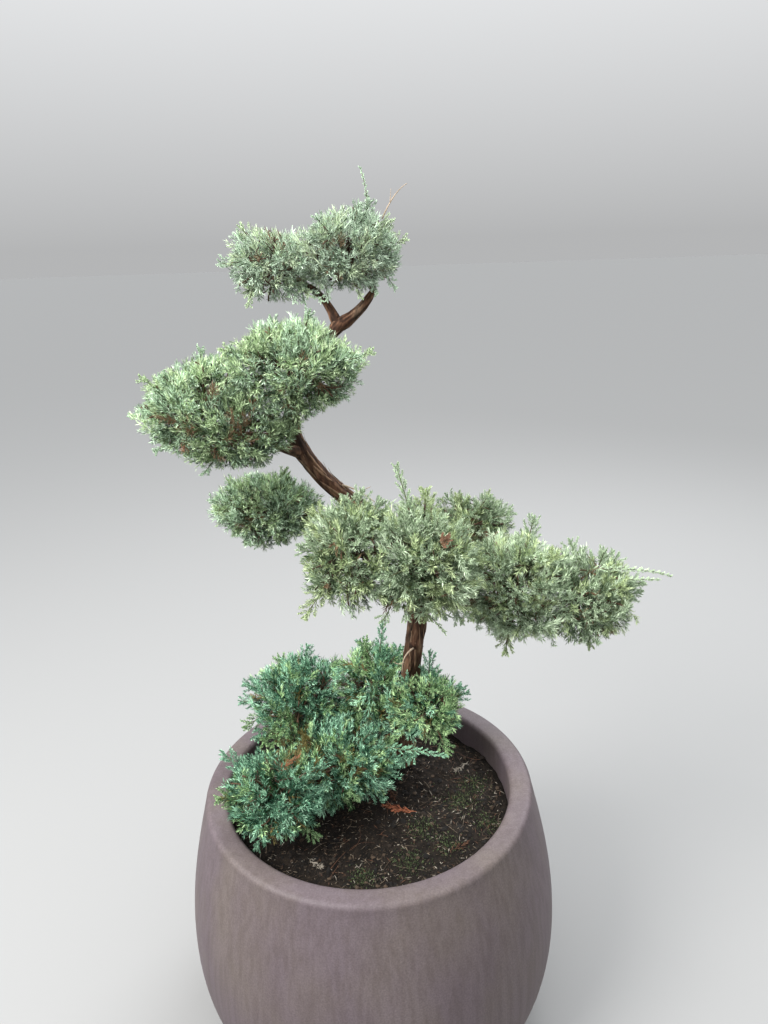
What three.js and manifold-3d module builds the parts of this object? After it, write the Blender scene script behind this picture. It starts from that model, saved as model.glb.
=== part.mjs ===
// A cloud-pruned juniper in a round planter: S-shaped trunk, boughs and clipped pads of foliage.
// Millimetres, +Z up, origin at the centre of the planter's flat underside, viewer at -Y.
import * as THREE from "three";
import { mergeVertices } from "three/addons/utils/BufferGeometryUtils.js";
import Module from "manifold-3d";

const wasm = await Module();
wasm.setup();

// Driving dimensions

// Free space between neighbouring solids.
const CLEARANCE = 0.4;

const POT = {
  height: 450,
  rimRadius: 267,
  rimRounding: 6,
  openingRadius: 230,
  collarDepth: 95,
  bellyRadius: 307,
  bellyHeight: 200,
  footRadius: 195,
  lowerFullness: 2.1,
  wall: 14,
  floor: 18,
  sides: 36,
  steps: 5,
};

const SOIL_TOP = 405;

const TRUNK = {
  rootRadius: 15.5,
  forkRadius: 9,
  taperPower: 2.4,
  flare: 11,
  flareHeight: 38,
  buttresses: 5,
  buttressDepth: 0.3,
  sides: 12,
  steps: 24,
  // The S of the stem: it leans right from the soil, swings left above the middle and back at the fork.
  path: [
    [56, 98, SOIL_TOP - 30],
    [64, 88, 485],
    [73, 76, 590],
    [87, 64, 705],
    [86, 58, 795],
    [42, 54, 868],
    [-14, 50, 920],
    [-58, 50, 965],
    [-91, 58, 1025],
    [-84, 80, 1092],
    [-50, 100, 1140],
    [-11, 115, 1181],
  ],
};

// A bough leaves its parent at a fraction of the parent's length and ends where it enters its mass.
// bow is how far its middle leaves the straight way, and aim moves the place where it enters.
const BOUGHS = [
  { name: "bough_low_front", parent: "trunk", at: 0.075, root: 7.5, tip: 4.5, bow: [0, 0, -22] },
  { name: "bough_low_middle", parent: "trunk", at: 0.11, root: 7, tip: 4.5, bow: [0, 0, 4] },
  { name: "bough_low_back", parent: "trunk", at: 0.13, root: 7.5, tip: 4.5, bow: [0, 0, -8] },
  { name: "bough_right_outer", parent: "trunk", at: 0.42, root: 9.5, tip: 5.5, bow: [0, 0, -24] },
  { name: "bough_right_inner", parent: "trunk", at: 0.45, root: 8.5, tip: 5.5, bow: [0, 0, 0] },
  { name: "bough_middle_right", parent: "trunk", at: 0.475, root: 8.5, tip: 5.5, bow: [0, 0, -6] },
  { name: "bough_back_right", parent: "trunk", at: 0.5, root: 8, tip: 5, bow: [0, 0, -6] },
  { name: "bough_middle_left", parent: "trunk", at: 0.54, root: 8, tip: 5, bow: [0, 0, -8] },
  { name: "bough_lower_left", parent: "trunk", at: 0.63, root: 8, tip: 5, bow: [0, 0, -12] },
  { name: "bough_left_under", parent: "trunk", at: 0.755, root: 7.5, tip: 5, bow: [0, 0, -4] },
  { name: "bough_left_outer", parent: "trunk", at: 0.795, root: 9, tip: 5.5, bow: [0, 0, -6] },
  { name: "bough_apex_left", parent: "trunk", at: 0.985, root: 6.5, tip: 4.5, bow: [6, 0, 12] },
  { name: "bough_apex_right", parent: "trunk", at: 0.985, root: 8, tip: 6, bow: [8, 0, -8], aim: [47, 1, -2] },
];
const BOUGH_SIDES = 6;
const BOUGH_STEP = 26;

// Each mass fills an uneven ellipsoid. shoots are the furthest tips of its outline.
// A mass that lies against the trunk has no bough: its stem starts at stemAt, a fraction of the trunk.
const MASSES = [
  {
    name: "low_front",
    centre: [-140, -98, 505],
    radii: [79, 78, 66],
    shoots: [[-171, -128, 425], [-77, -125, 438], [-224, -56, 546]],
  },
  {
    name: "low_middle",
    centre: [-37, -18, 490],
    radii: [88, 78, 70],
    shoots: [[24, -50, 444]],
  },
  {
    name: "low_back",
    centre: [-122, 108, 540],
    radii: [90, 94, 78],
    shoots: [[-222, 96, 540], [-212, 60, 512]],
  },
  {
    name: "low_top",
    stemAt: 0.19,
    centre: [16, 112, 556],
    radii: [78, 70, 76],
    shoots: [[31, 100, 680], [-2, 110, 645], [58, 90, 639]],
  },
  {
    name: "low_right",
    stemAt: 0.15,
    centre: [98, 34, 560],
    radii: [68, 62, 62],
    shoots: [[168, 38, 581], [129, -40, 520], [108, 60, 645]],
  },
  {
    name: "middle_left",
    centre: [-10, -70, 878],
    radii: [74, 80, 80],
    shoots: [[10, -60, 969], [-78, -90, 794]],
  },
  {
    name: "middle_right",
    centre: [92, -84, 870],
    radii: [82, 86, 88],
    shoots: [[57, -85, 1010], [95, -80, 973], [150, -90, 796]],
  },
  {
    name: "back_right",
    centre: [176, 122, 846],
    radii: [77, 68, 49],
    shoots: [[205, 112, 894]],
  },
  {
    name: "right_inner",
    centre: [234, 0, 786],
    radii: [92, 90, 92],
    shoots: [[263, 20, 892], [214, -40, 695]],
  },
  {
    name: "right_outer",
    centre: [343, 8, 762],
    radii: [82, 80, 76],
    shoots: [[478, 20, 788], [428, 10, 766], [354, 0, 680]],
  },
  {
    name: "lower_left",
    centre: [-144, 84, 897],
    radii: [90, 74, 64],
    shoots: [[-229, 70, 920]],
  },
  {
    name: "left_outer",
    centre: [-210, -8, 1078],
    radii: [80, 84, 73],
    shoots: [[-309, -5, 1070], [-286, -10, 1122], [-279, -10, 1019]],
  },
  {
    name: "left_inner",
    stemAt: 0.87,
    centre: [-76, 6, 1124],
    radii: [94, 90, 74],
    shoots: [[-52, 0, 1203], [30, 12, 1146]],
  },
  {
    name: "left_under",
    centre: [-157, -34, 1050],
    radii: [74, 66, 56],
    shoots: [[-210, -30, 990]],
  },
  {
    name: "apex_left",
    centre: [-112, 146, 1258],
    radii: [73, 74, 54],
    shoots: [[-192, 140, 1266], [-158, 150, 1315]],
  },
  {
    name: "apex_right",
    centre: [-4, 125, 1274],
    radii: [89, 84, 62],
    shoots: [[36, 122, 1342], [84, 125, 1290], [21, 122, 1388]],
  },
];

// The dense heart of a mass, as a share of the mass, and the unevenness of both.
const CORE_SHARE = 0.88;
const CORE_DETAIL = 1;
const LUMP_HEIGHT = 0.11;
const STEM_RADIUS = 4.5;
// How far from the core's surface a bough's tip stops.
const TIP_STANDOFF = 9;

// A spray is a flat blade with one pair of side teeth. Places along it are shares of its length.
const SPRAY = { width: 38, thickness: 9, tooth: 0.64, notch: 0.68, waist: 0.36, rib: 0.5, root: 0.5 };
// How far sprays reach past the mass's even outline, and how far their tips sway from straight out.
const REACH_LEAST = 0.98;
const REACH_SPREAD = 0.1;
const SPRAY_SWAY = 0.45;
const SHOOT_WIDTH = 20;
const SHOOT_ROOT = 0.55;
// Free space round a spray's edge.
const SPRAY_MARGIN = 1.5;
const SPRAYS_PER_MASS = 17;
const GOLDEN_ANGLE = Math.PI * (3 - Math.sqrt(5));

const ROUGHNESS = { pot: 0.75, soil: 0.95, bark: 0.9, leaf: 0.85 };
const COLOURS = {
  pot: 0x8a7a78,
  soil: 0x2c231d,
  bark: 0x6b4a38,
  low: 0x3f7a63,
  high: 0x6f9378,
};

// Small helpers

const vec = (p) => new THREE.Vector3(...p);

// A repeatable number between 0 and 1 for a mass and a count.
function chance(seed, index) {
  const wave = Math.sin(seed * 127.1 + index * 311.7) * 43758.5453;
  return wave - Math.floor(wave);
}

// A closed three.js geometry as a solid.
function solid(geometry) {
  const bare = geometry.clone();
  bare.deleteAttribute("normal");
  bare.deleteAttribute("uv");
  const merged = mergeVertices(bare, 1e-4);
  return new wasm.Manifold(
    new wasm.Mesh({
      numProp: 3,
      vertProperties: new Float32Array(merged.attributes.position.array),
      triVerts: new Uint32Array(merged.index.array),
    }),
  );
}

// The largest piece of a solid, so that scraps and sealed hollows go.
function largest(body) {
  const pieces = body.decompose();
  return pieces.reduce((best, piece) => (piece.volume() > best.volume() ? piece : best));
}

// A solid as a named mesh of the model.
function node(name, body, colour, roughness) {
  const made = body.getMesh();
  const geometry = new THREE.BufferGeometry();
  geometry.setAttribute("position", new THREE.BufferAttribute(made.vertProperties, 3));
  geometry.setIndex(new THREE.BufferAttribute(made.triVerts, 1));
  geometry.computeVertexNormals();
  const material = new THREE.MeshStandardMaterial({ color: colour, roughness, metalness: 0 });
  const mesh = new THREE.Mesh(geometry, material);
  mesh.name = name;
  return mesh;
}

// Planter and soil

// The planter's outside from the foot to the rim: a bulging belly that closes in both ways.
// inwards moves the curve in, for the inside of the wall.
function bellyCurve(inwards) {
  const belly = POT.bellyRadius - inwards;
  const foot = POT.footRadius - inwards / 2;
  const rim = POT.rimRadius - inwards;
  const power = 2 / POT.lowerFullness;
  const points = [];
  for (let i = 0; i <= POT.steps; i++) {
    const turn = ((Math.PI / 2) * i) / POT.steps;
    const across = foot + (belly - foot) * Math.sin(turn) ** power;
    const rise = (POT.bellyHeight - inwards) * (1 - Math.cos(turn) ** power);
    points.push(new THREE.Vector2(across, inwards + rise));
  }
  for (let i = 1; i <= POT.steps; i++) {
    const share = i / POT.steps;
    const across = rim + (belly - rim) * Math.cos((Math.PI / 2) * share);
    const rise = POT.height - POT.rimRounding - POT.bellyHeight;
    points.push(new THREE.Vector2(across, POT.bellyHeight + rise * share));
  }
  return points;
}

// The inside wall from the floor up to the collar that hangs from the rim, kept a gap away.
function innerWall(gap) {
  const under = POT.height - POT.collarDepth;
  const wall = bellyCurve(POT.wall + gap).filter((point) => point.y < under - POT.wall);
  wall[0].y = POT.floor + gap;
  wall.push(new THREE.Vector2(POT.openingRadius - gap, under));
  return wall;
}

function turned(profile) {
  const lathe = new THREE.LatheGeometry(profile, POT.sides);
  lathe.rotateX(Math.PI / 2);
  return solid(lathe);
}

function potSolid() {
  const { height, rimRadius, openingRadius, rimRounding } = POT;
  return turned([
    new THREE.Vector2(0, 0),
    ...bellyCurve(0),
    new THREE.Vector2(rimRadius - rimRounding, height),
    new THREE.Vector2(openingRadius + rimRounding, height),
    new THREE.Vector2(openingRadius, height - rimRounding),
    ...innerWall(0).reverse(),
    new THREE.Vector2(0, POT.floor),
  ]);
}

function soilSolid() {
  const profile = [new THREE.Vector2(0, POT.floor + CLEARANCE)];
  profile.push(...innerWall(CLEARANCE));
  profile.push(new THREE.Vector2(POT.openingRadius - CLEARANCE, SOIL_TOP));
  profile.push(new THREE.Vector2(0, SOIL_TOP));
  return turned(profile);
}

// The space of the planter and its soil, which nothing of the plant enters.
function potSpace() {
  const soil = SOIL_TOP + CLEARANCE;
  const rim = POT.height + CLEARANCE;
  const opening = POT.openingRadius - SPRAY_MARGIN;
  const outside = POT.bellyRadius + SPRAY_MARGIN;
  return turned([
    new THREE.Vector2(0, 0),
    new THREE.Vector2(outside, 0),
    new THREE.Vector2(outside, rim),
    new THREE.Vector2(opening, rim),
    new THREE.Vector2(opening, soil),
    new THREE.Vector2(0, soil),
  ]);
}

function insidePotSpace(point, margin) {
  const across = Math.hypot(point.x, point.y);
  const inOpening = across < POT.openingRadius - 2 * SPRAY_MARGIN;
  return point.z < margin + (inOpening ? SOIL_TOP : POT.height);
}

// Limbs: round sections that taper along a curve

// A cylinder bent along the curve, with its radius at each point from radiusAt(length, angle).
function limbSolid(limb, extra) {
  const { curve, sides, steps, radiusAt } = limb;
  const bent = new THREE.CylinderGeometry(1, 1, 1, sides, steps);
  const frames = curve.computeFrenetFrames(steps, false);
  const length = curve.getLength();
  const spots = bent.attributes.position;
  for (let i = 0; i < spots.count; i++) {
    const row = Math.round((spots.getY(i) + 0.5) * steps);
    const across = new THREE.Vector2(spots.getX(i), spots.getZ(i));
    const angle = across.angle();
    const radius = (radiusAt((row / steps) * length, angle) + extra) * across.length();
    const spot = curve.getPointAt(row / steps);
    const ends = row === 0 ? -extra : row === steps ? extra : 0;
    spot.addScaledVector(frames.tangents[row], ends);
    spot.addScaledVector(frames.normals[row], Math.cos(angle) * radius);
    spot.addScaledVector(frames.binormals[row], -Math.sin(angle) * radius);
    spots.setXYZ(i, spot.x, spot.y, spot.z);
  }
  return solid(bent);
}

// Least distance from a point to a limb's bark.
function clearOfLimb(limb, point) {
  const samples = limb.steps * 3;
  let least = Infinity;
  for (let i = 0; i <= samples; i++) {
    const share = i / samples;
    const gap = limb.curve.getPointAt(share).distanceTo(point) - limb.radiusAt(share * limb.length, 0);
    least = Math.min(least, gap);
  }
  return least;
}

function makeTrunk() {
  const curve = new THREE.CatmullRomCurve3(TRUNK.path.map(vec), false, "centripetal");
  const length = curve.getLength();
  const buried = SOIL_TOP - TRUNK.path[0][2];
  const radiusAt = (along, angle) => {
    const share = (along / length) ** TRUNK.taperPower;
    const flare = TRUNK.flare * Math.exp(-Math.max(along - buried, 0) / TRUNK.flareHeight);
    const ridge = 1 + TRUNK.buttressDepth * Math.cos(TRUNK.buttresses * angle);
    return TRUNK.rootRadius + (TRUNK.forkRadius - TRUNK.rootRadius) * share + flare * ridge;
  };
  return { name: "trunk", curve, length, sides: TRUNK.sides, steps: TRUNK.steps, radiusAt };
}

// Masses of foliage

// Unevenness of a mass in a direction: a few slow waves set by its seed.
function lump(direction, seed) {
  const { x, y, z } = direction;
  const first = Math.sin(3.9 * x + 1.7 * seed) * Math.cos(3.3 * y - 2.3 * seed);
  const second = Math.sin(4.3 * z + 2.9 * seed + 1.9 * x);
  return 1 + (LUMP_HEIGHT * (first + second)) / 2;
}

// Point of a mass in a direction, at a share of its reach.
function reachPoint(mass, direction, share) {
  const scale = share * lump(direction, mass.seed);
  return direction.clone().multiplyScalar(scale).multiply(mass.radii).add(mass.centre);
}

// Direction from the mass's centre towards a point, in the mass's own proportions.
function directionTo(mass, point) {
  return point.clone().sub(mass.centre).divide(mass.radii).normalize();
}

// How far a mass reaches along a unit vector.
function support(mass, along) {
  return along.clone().multiply(mass.radii).length();
}

// The plane that parts two masses: a point on it and its normal from the first towards the second.
function partingPlane(mass, other) {
  const normal = other.centre.clone().sub(mass.centre).normalize();
  const own = support(mass, normal);
  const theirs = support(other, normal);
  const spot = mass.centre.clone().lerp(other.centre, own / (own + theirs));
  return { normal, spot };
}

function beyondPlane(plane, point) {
  return point.clone().sub(plane.spot).dot(plane.normal);
}

// A large block on the far side of a plane, for trimming cores.
function farSide(plane) {
  const size = 2 * POT.bellyRadius;
  const block = new THREE.BoxGeometry(size, size, size);
  block.translate(0, 0, size / 2 - CLEARANCE / 2);
  block.applyQuaternion(
    new THREE.Quaternion().setFromUnitVectors(new THREE.Vector3(0, 0, 1), plane.normal),
  );
  block.translate(plane.spot.x, plane.spot.y, plane.spot.z);
  return solid(block);
}

function coreSolid(mass) {
  const ball = new THREE.IcosahedronGeometry(1, CORE_DETAIL);
  const spots = ball.attributes.position;
  for (let i = 0; i < spots.count; i++) {
    const direction = new THREE.Vector3().fromBufferAttribute(spots, i).normalize();
    const spot = reachPoint(mass, direction, CORE_SHARE);
    spots.setXYZ(i, spot.x, spot.y, spot.z);
  }
  return solid(ball);
}

// Outline of a toothed blade of unit length, from its root at y = 0 round to its tip at y = 1 and back.
function bladeOutline(width) {
  const half = width / 2;
  const right = [
    [half, SPRAY.tooth],
    [half * SPRAY.waist, SPRAY.notch],
  ];
  const left = right.map(([x, y]) => [-x, y]).reverse();
  return [[0, 0], ...right, [0, 1], ...left];
}

// A spray from root to tip, turned about its length: a toothed blade, thickest at its rib.
function makeSpray(root, tip, width, turn) {
  const length = root.distanceTo(tip);
  const along = tip.clone().sub(root).normalize();
  const upright = Math.abs(along.z) < 0.8 ? new THREE.Vector3(0, 0, 1) : new THREE.Vector3(1, 0, 0);
  const side = upright.cross(along).normalize().applyAxisAngle(along, turn);
  const face = side.clone().cross(along);
  const placed = new THREE.Matrix4().makeBasis(side, along, face).setPosition(root);
  const place = (x, y, z) => new THREE.Vector3(x, y * length, z).applyMatrix4(placed);
  const spots = bladeOutline(width).map(([x, y]) => place(x, y, 0));
  const front = place(0, SPRAY.rib, SPRAY.thickness / 2);
  const back = place(0, SPRAY.rib, -SPRAY.thickness / 2);
  const faces = spots.flatMap((spot, i) => {
    const next = spots[(i + 1) % spots.length];
    return [front, spot, next, back, next, spot];
  });
  return { blade: new THREE.BufferGeometry().setFromPoints(faces), spots };
}

// The sprays that a mass could have: an even spread over its outside, then its furthest shoots.
function sprayPlans(mass) {
  const plans = [];
  for (let i = 0; i < SPRAYS_PER_MASS; i++) {
    const height = 1 - (2 * (i + 0.5)) / SPRAYS_PER_MASS;
    const turn = i * GOLDEN_ANGLE + mass.seed;
    const round = Math.sqrt(1 - height * height);
    const out = new THREE.Vector3(round * Math.cos(turn), round * Math.sin(turn), height);
    const sway = new THREE.Vector3(
      chance(mass.seed, 3 * i) - 0.5,
      chance(mass.seed, 3 * i + 1) - 0.5,
      chance(mass.seed, 3 * i + 2) - 0.5,
    );
    const tipWay = out.clone().addScaledVector(sway, SPRAY_SWAY).normalize();
    const reach = REACH_LEAST + REACH_SPREAD * chance(mass.seed + 7, i);
    plans.push({
      root: reachPoint(mass, out, SPRAY.root),
      tip: reachPoint(mass, tipWay, reach),
      width: SPRAY.width,
      turn: Math.PI * chance(mass.seed + 13, i),
    });
  }
  for (const target of mass.shoots) {
    const tip = vec(target);
    const root = reachPoint(mass, directionTo(mass, tip), SHOOT_ROOT);
    plans.push({ root, tip, width: SHOOT_WIDTH, turn: Math.PI / 2 });
  }
  return plans;
}

// True when every corner of a spray keeps to its mass's space.
function keepsToSpace(mass, spray, planes, limbs) {
  const margin = SPRAY.thickness / 2 + SPRAY_MARGIN;
  return spray.spots.every((spot, i) => {
    const next = spray.spots[(i + 1) % spray.spots.length];
    const middle = spot.clone().lerp(next, 0.5);
    return [spot, middle].every(
      (point) =>
        !insidePotSpace(point, margin) &&
        planes.every((plane) => beyondPlane(plane, point) < -margin) &&
        limbs.every((limb) => clearOfLimb(limb, point) > margin),
    );
  });
}

// Building the plant

const masses = MASSES.map((mass, i) => ({
  ...mass,
  seed: i + 1,
  centre: vec(mass.centre),
  radii: vec(mass.radii),
}));

const trunk = makeTrunk();
const ground = potSpace();
const limbs = [trunk];
const plant = new THREE.Group();

// A bough's curve runs from its parent's middle to just outside the core of its mass.
function makeBough(plan) {
  const parent = limbs.find((limb) => limb.name === plan.parent);
  const mass = masses.find((each) => `bough_${each.name}` === plan.name);
  const start = parent.curve.getPointAt(plan.at);
  const bow = vec(plan.bow);
  const aim = plan.aim ? vec(plan.aim) : bow;
  const middle = start.clone().lerp(mass.centre, 0.5).add(aim);
  const entry = reachPoint(mass, directionTo(mass, middle), CORE_SHARE);
  const end = entry.clone().add(entry.clone().sub(mass.centre).normalize().multiplyScalar(TIP_STANDOFF));
  const knee = start.clone().lerp(end, 0.5).add(bow);
  const curve = new THREE.QuadraticBezierCurve3(start, knee, end);
  const length = curve.getLength();
  const steps = Math.max(4, Math.round(length / BOUGH_STEP));
  const radiusAt = (along) => plan.root + ((plan.tip - plan.root) * along) / length;
  return { name: plan.name, mass, curve, length, sides: BOUGH_SIDES, steps, radiusAt };
}

for (const plan of BOUGHS) limbs.push(makeBough(plan));

// The stem of a mass runs to its middle from its bough's tip, or from the trunk where it has no bough.
function makeStem(mass) {
  const bough = limbs.find((limb) => limb.mass === mass);
  const start = bough
    ? bough.curve.getPointAt(1).addScaledVector(bough.curve.getTangentAt(1), CLEARANCE)
    : trunk.curve.getPointAt(mass.stemAt);
  const curve = new THREE.LineCurve3(start, mass.centre.clone());
  return { curve, length: curve.getLength(), sides: 6, steps: 1, radiusAt: () => STEM_RADIUS };
}

for (const mass of masses) mass.stem = makeStem(mass);

// Limbs, each cut clear of those before it.
let grown = limbSolid(trunk, CLEARANCE);
const trunkBody = largest(limbSolid(trunk, 0).subtract(ground));
plant.add(node("pot", potSolid(), COLOURS.pot, ROUGHNESS.pot));
plant.add(node("soil", soilSolid(), COLOURS.soil, ROUGHNESS.soil));
plant.add(node("trunk", trunkBody, COLOURS.bark, ROUGHNESS.bark));
for (const limb of limbs.slice(1)) {
  const body = largest(limbSolid(limb, 0).subtract(grown).subtract(ground));
  plant.add(node(limb.name, body, COLOURS.bark, ROUGHNESS.bark));
  grown = grown.add(limbSolid(limb, CLEARANCE));
}

// Masses: stem and core, cut clear of limbs, neighbours and planter, with the sprays fused on.
for (const mass of masses) {
  const others = masses.filter((other) => other !== mass);
  const planes = others.map((other) => partingPlane(mass, other));
  const otherStems = others.map((other) => other.stem);
  let body = coreSolid(mass);
  for (const plane of planes) body = body.subtract(farSide(plane));
  body = body.add(limbSolid(mass.stem, 0));
  for (const stem of otherStems) body = body.subtract(limbSolid(stem, CLEARANCE));
  body = body.subtract(grown).subtract(ground);
  const obstacles = [...limbs, ...otherStems];
  for (const plan of sprayPlans(mass)) {
    const spray = makeSpray(plan.root, plan.tip, plan.width, plan.turn);
    if (keepsToSpace(mass, spray, planes, obstacles)) body = body.add(solid(spray.blade));
  }
  const low = mass.name.startsWith("low_");
  plant.add(node(mass.name, largest(body), low ? COLOURS.low : COLOURS.high, ROUGHNESS.leaf));
}

export default plant;
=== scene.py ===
"""A cloud-pruned juniper in a round planter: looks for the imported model.

Shapes are worked out in millimetres in the model's own frame and written as meshes in metres.
The limbs and masses repeat the source's rule and carry it on to twigs, sprays and scale leaves.
"""

import math

import bmesh
import bpy
import numpy as np
from mathutils import Matrix, Vector


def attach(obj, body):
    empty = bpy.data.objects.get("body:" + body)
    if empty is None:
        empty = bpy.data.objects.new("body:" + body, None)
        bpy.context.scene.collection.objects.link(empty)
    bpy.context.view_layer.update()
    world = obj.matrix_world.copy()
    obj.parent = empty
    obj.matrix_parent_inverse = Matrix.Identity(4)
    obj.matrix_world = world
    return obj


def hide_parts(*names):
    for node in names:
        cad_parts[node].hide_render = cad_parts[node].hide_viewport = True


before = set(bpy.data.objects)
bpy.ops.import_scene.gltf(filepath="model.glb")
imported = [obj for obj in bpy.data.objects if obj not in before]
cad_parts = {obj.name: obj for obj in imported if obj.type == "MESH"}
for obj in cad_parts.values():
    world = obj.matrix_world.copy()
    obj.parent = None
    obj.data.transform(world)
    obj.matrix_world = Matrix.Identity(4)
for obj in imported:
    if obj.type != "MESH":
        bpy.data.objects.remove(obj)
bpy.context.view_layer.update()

MM = 0.001
TURN = 2 * math.pi
GOLDEN_ANGLE = math.pi * (3 - math.sqrt(5))
UP = np.array([0.0, 0.0, 1.0])

# Planter and soil

POT = dict(
    height=450.0, rim=267.0, rounding=9.0, opening=230.0, collar=95.0, belly=307.0,
    belly_height=200.0, foot=195.0, fullness=2.1, wall=14.0, floor=18.0,
)
POT_SIDES = 192
UNDER_COLLAR = POT["height"] - POT["collar"]
# Radius of the smallest ring that closes a turned shape
AXIS = 0.01

SOIL_TOP = 405.0
SOIL_SIDES = 240
# The compost's gaps to the planter's wall and floor
WALL_GAP = 0.6
FLOOR_GAP = 0.4
# Height and width of each layer of unevenness
SOIL_RELIEF = [(9, 62), (6, 21), (3.6, 8.5), (2.2, 4.2)]
# The compost lies a little under its level, rises round the trunk and falls towards the planter's wall.
SETTLED = 2
MOUND_X, MOUND_Y, MOUND_HEIGHT, MOUND_WIDTH = 58, 96, 7, 60
FALL_HEIGHT, FALL_START, FALL_WIDTH = 3, 190, 40
LITTER_EDGE = 224.0

# Limbs

TRUNK = dict(
    root=15.5, fork=9.0, taper=2.4, flare=11.0, flare_height=38.0, buttresses=5, buttress_depth=0.3,
    buried=30.0,
)
TRUNK_PATH = [
    (56, 98, SOIL_TOP - TRUNK["buried"]), (64, 88, 485), (73, 76, 590), (87, 64, 705),
    (86, 58, 795), (42, 54, 868), (-14, 50, 920), (-58, 50, 965),
    (-91, 58, 1025), (-84, 80, 1092), (-50, 100, 1140), (-11, 115, 1181),
]
# Boughs: their mass, place on the trunk, root radius, tip radius and bow
BOUGHS = [
    ("low_front", 0.075, 7.5, 4.5, (0, 0, -22)),
    ("low_middle", 0.11, 7.0, 4.5, (0, 0, 4)),
    ("low_back", 0.13, 7.5, 4.5, (0, 0, -8)),
    ("right_outer", 0.42, 9.5, 5.5, (0, 0, -24)),
    ("right_inner", 0.45, 8.5, 5.5, (0, 0, 0)),
    ("middle_right", 0.475, 8.5, 5.5, (0, 0, -6)),
    ("back_right", 0.5, 8.0, 5.0, (0, 0, -6)),
    ("middle_left", 0.54, 8.0, 5.0, (0, 0, -8)),
    ("lower_left", 0.63, 8.0, 5.0, (0, 0, -12)),
    ("left_under", 0.755, 7.5, 5.0, (0, 0, -4)),
    ("left_outer", 0.795, 9.0, 5.5, (0, 0, -6)),
    ("apex_left", 0.985, 6.5, 4.5, (6, 0, 12)),
    ("apex_right", 0.985, 8.0, 6.0, (8, 0, -8)),
]
# How far off its middle a bough aims to enter its mass, where that isn't its bow
AIMS = {"apex_right": (47, 1, -2)}
# Where the stem of a mass without a bough leaves the trunk
STEMS = {"low_top": 0.19, "low_right": 0.15, "left_inner": 0.87}
TIP_STANDOFF = 9.0
STEM_RADIUS = 4.5
# How far along the trunk and a bough their bark starts
TRUNK_BARK_START, BOUGH_BARK_START = 20.0, 4.0
# A bough's collar: its share of the root's radius, its length and its falling off
COLLAR_SHARE, COLLAR_LENGTH, COLLAR_FALL = 0.3, 14, 10
# Way over which a bough narrows to its stem
NARROWING = 30

# Bark: ridges round a limb, and millimetres along it, of each layer of noise
BARK_LAYERS = {"furrow": (2.1, 42.0), "strand": (4.6, 26.0), "flake": (1.7, 15.0), "swell": (0.7, 55.0)}
BARK_TWIST = 160.0
TRUNK_BARK_SEED = 5
# Millimetres from one ring of bark to the next, and points in a ring
TRUNK_MESH, BOUGH_MESH, STEM_MESH = (2.7, 64), (3.0, 22), (3.5, 12)
KNOT_PLACE = (80, 44, 663)
# Knots: millimetres and radians from the first one, width and height
KNOTS = [(0, 0, 7.0, 3.6), (74, 2.1, 6.0, 2.4), (-58, -1.7, 6.0, 2.2)]
PEELING_STRIPS = 150

# Masses by their kind of growth: centre, radii and furthest shoots
MASSES = {
    "low": {
        "low_front": [(-140, -98, 505), (79, 78, 66), (-171, -128, 425), (-77, -125, 438), (-224, -56, 546)],
        "low_middle": [(-37, -18, 490), (88, 78, 70), (24, -50, 444)],
        "low_back": [(-122, 108, 540), (90, 94, 78), (-222, 96, 540), (-212, 60, 512)],
        "low_top": [(16, 112, 556), (78, 70, 76), (31, 100, 680), (-2, 110, 645), (58, 90, 639)],
        "low_right": [(98, 34, 560), (68, 62, 62), (168, 38, 581), (129, -40, 520), (108, 60, 645)],
    },
    "plume": {
        "middle_left": [(-10, -70, 878), (74, 80, 80), (10, -60, 969), (-78, -90, 794)],
        "middle_right": [(92, -84, 870), (82, 86, 88), (57, -85, 1010), (95, -80, 973), (150, -90, 796)],
        "back_right": [(176, 122, 846), (77, 68, 49), (205, 112, 894)],
        "right_inner": [(234, 0, 786), (92, 90, 92), (263, 20, 892), (214, -40, 695)],
        "right_outer": [(343, 8, 762), (82, 80, 76), (478, 20, 788), (428, 10, 766), (354, 0, 680)],
    },
    "tight": {
        "lower_left": [(-144, 84, 897), (90, 74, 64), (-229, 70, 920)],
        "left_outer": [
            (-210, -8, 1078), (80, 84, 73), (-309, -5, 1070), (-286, -10, 1122), (-279, -10, 1019),
        ],
        "left_inner": [(-76, 6, 1124), (94, 90, 74), (-52, 0, 1203), (30, 12, 1146)],
        "left_under": [(-157, -34, 1050), (74, 66, 56), (-210, -30, 990)],
    },
    "apex": {
        "apex_left": [(-112, 146, 1258), (73, 74, 54), (-192, 140, 1266), (-158, 150, 1315)],
        "apex_right": [(-4, 125, 1274), (89, 84, 62), (36, 122, 1342), (84, 125, 1290), (21, 122, 1388)],
    },
}
CORE_SHARE = 0.88
LUMP_HEIGHT = 0.11
MAIN_TWIGS = 17
REACH_LEAST = 0.98
REACH_SPREAD = 0.1
SWAY = 0.45
SHOOT_ROOT = 0.55
# How softly neighbouring masses flow together: less is softer
JOIN = 2.4
# Shares of a mass's reach between which its joined outline is sought, and how often that range is halved
JOINED_LEAST, JOINED_MOST, JOINED_HALVINGS = 0.9, 1.22, 10
# Millimetres by which each thing may pass its mass's parting planes
CROSSING = dict(scale=11, tip=9, root=5, main_twig=6, side_twig=4, plume=4, inner=0)
# Samples of wood: millimetres from one to the next, and the distance beyond which none matters
WOOD_STEP = 4
WOOD_NEAR = 40

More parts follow.
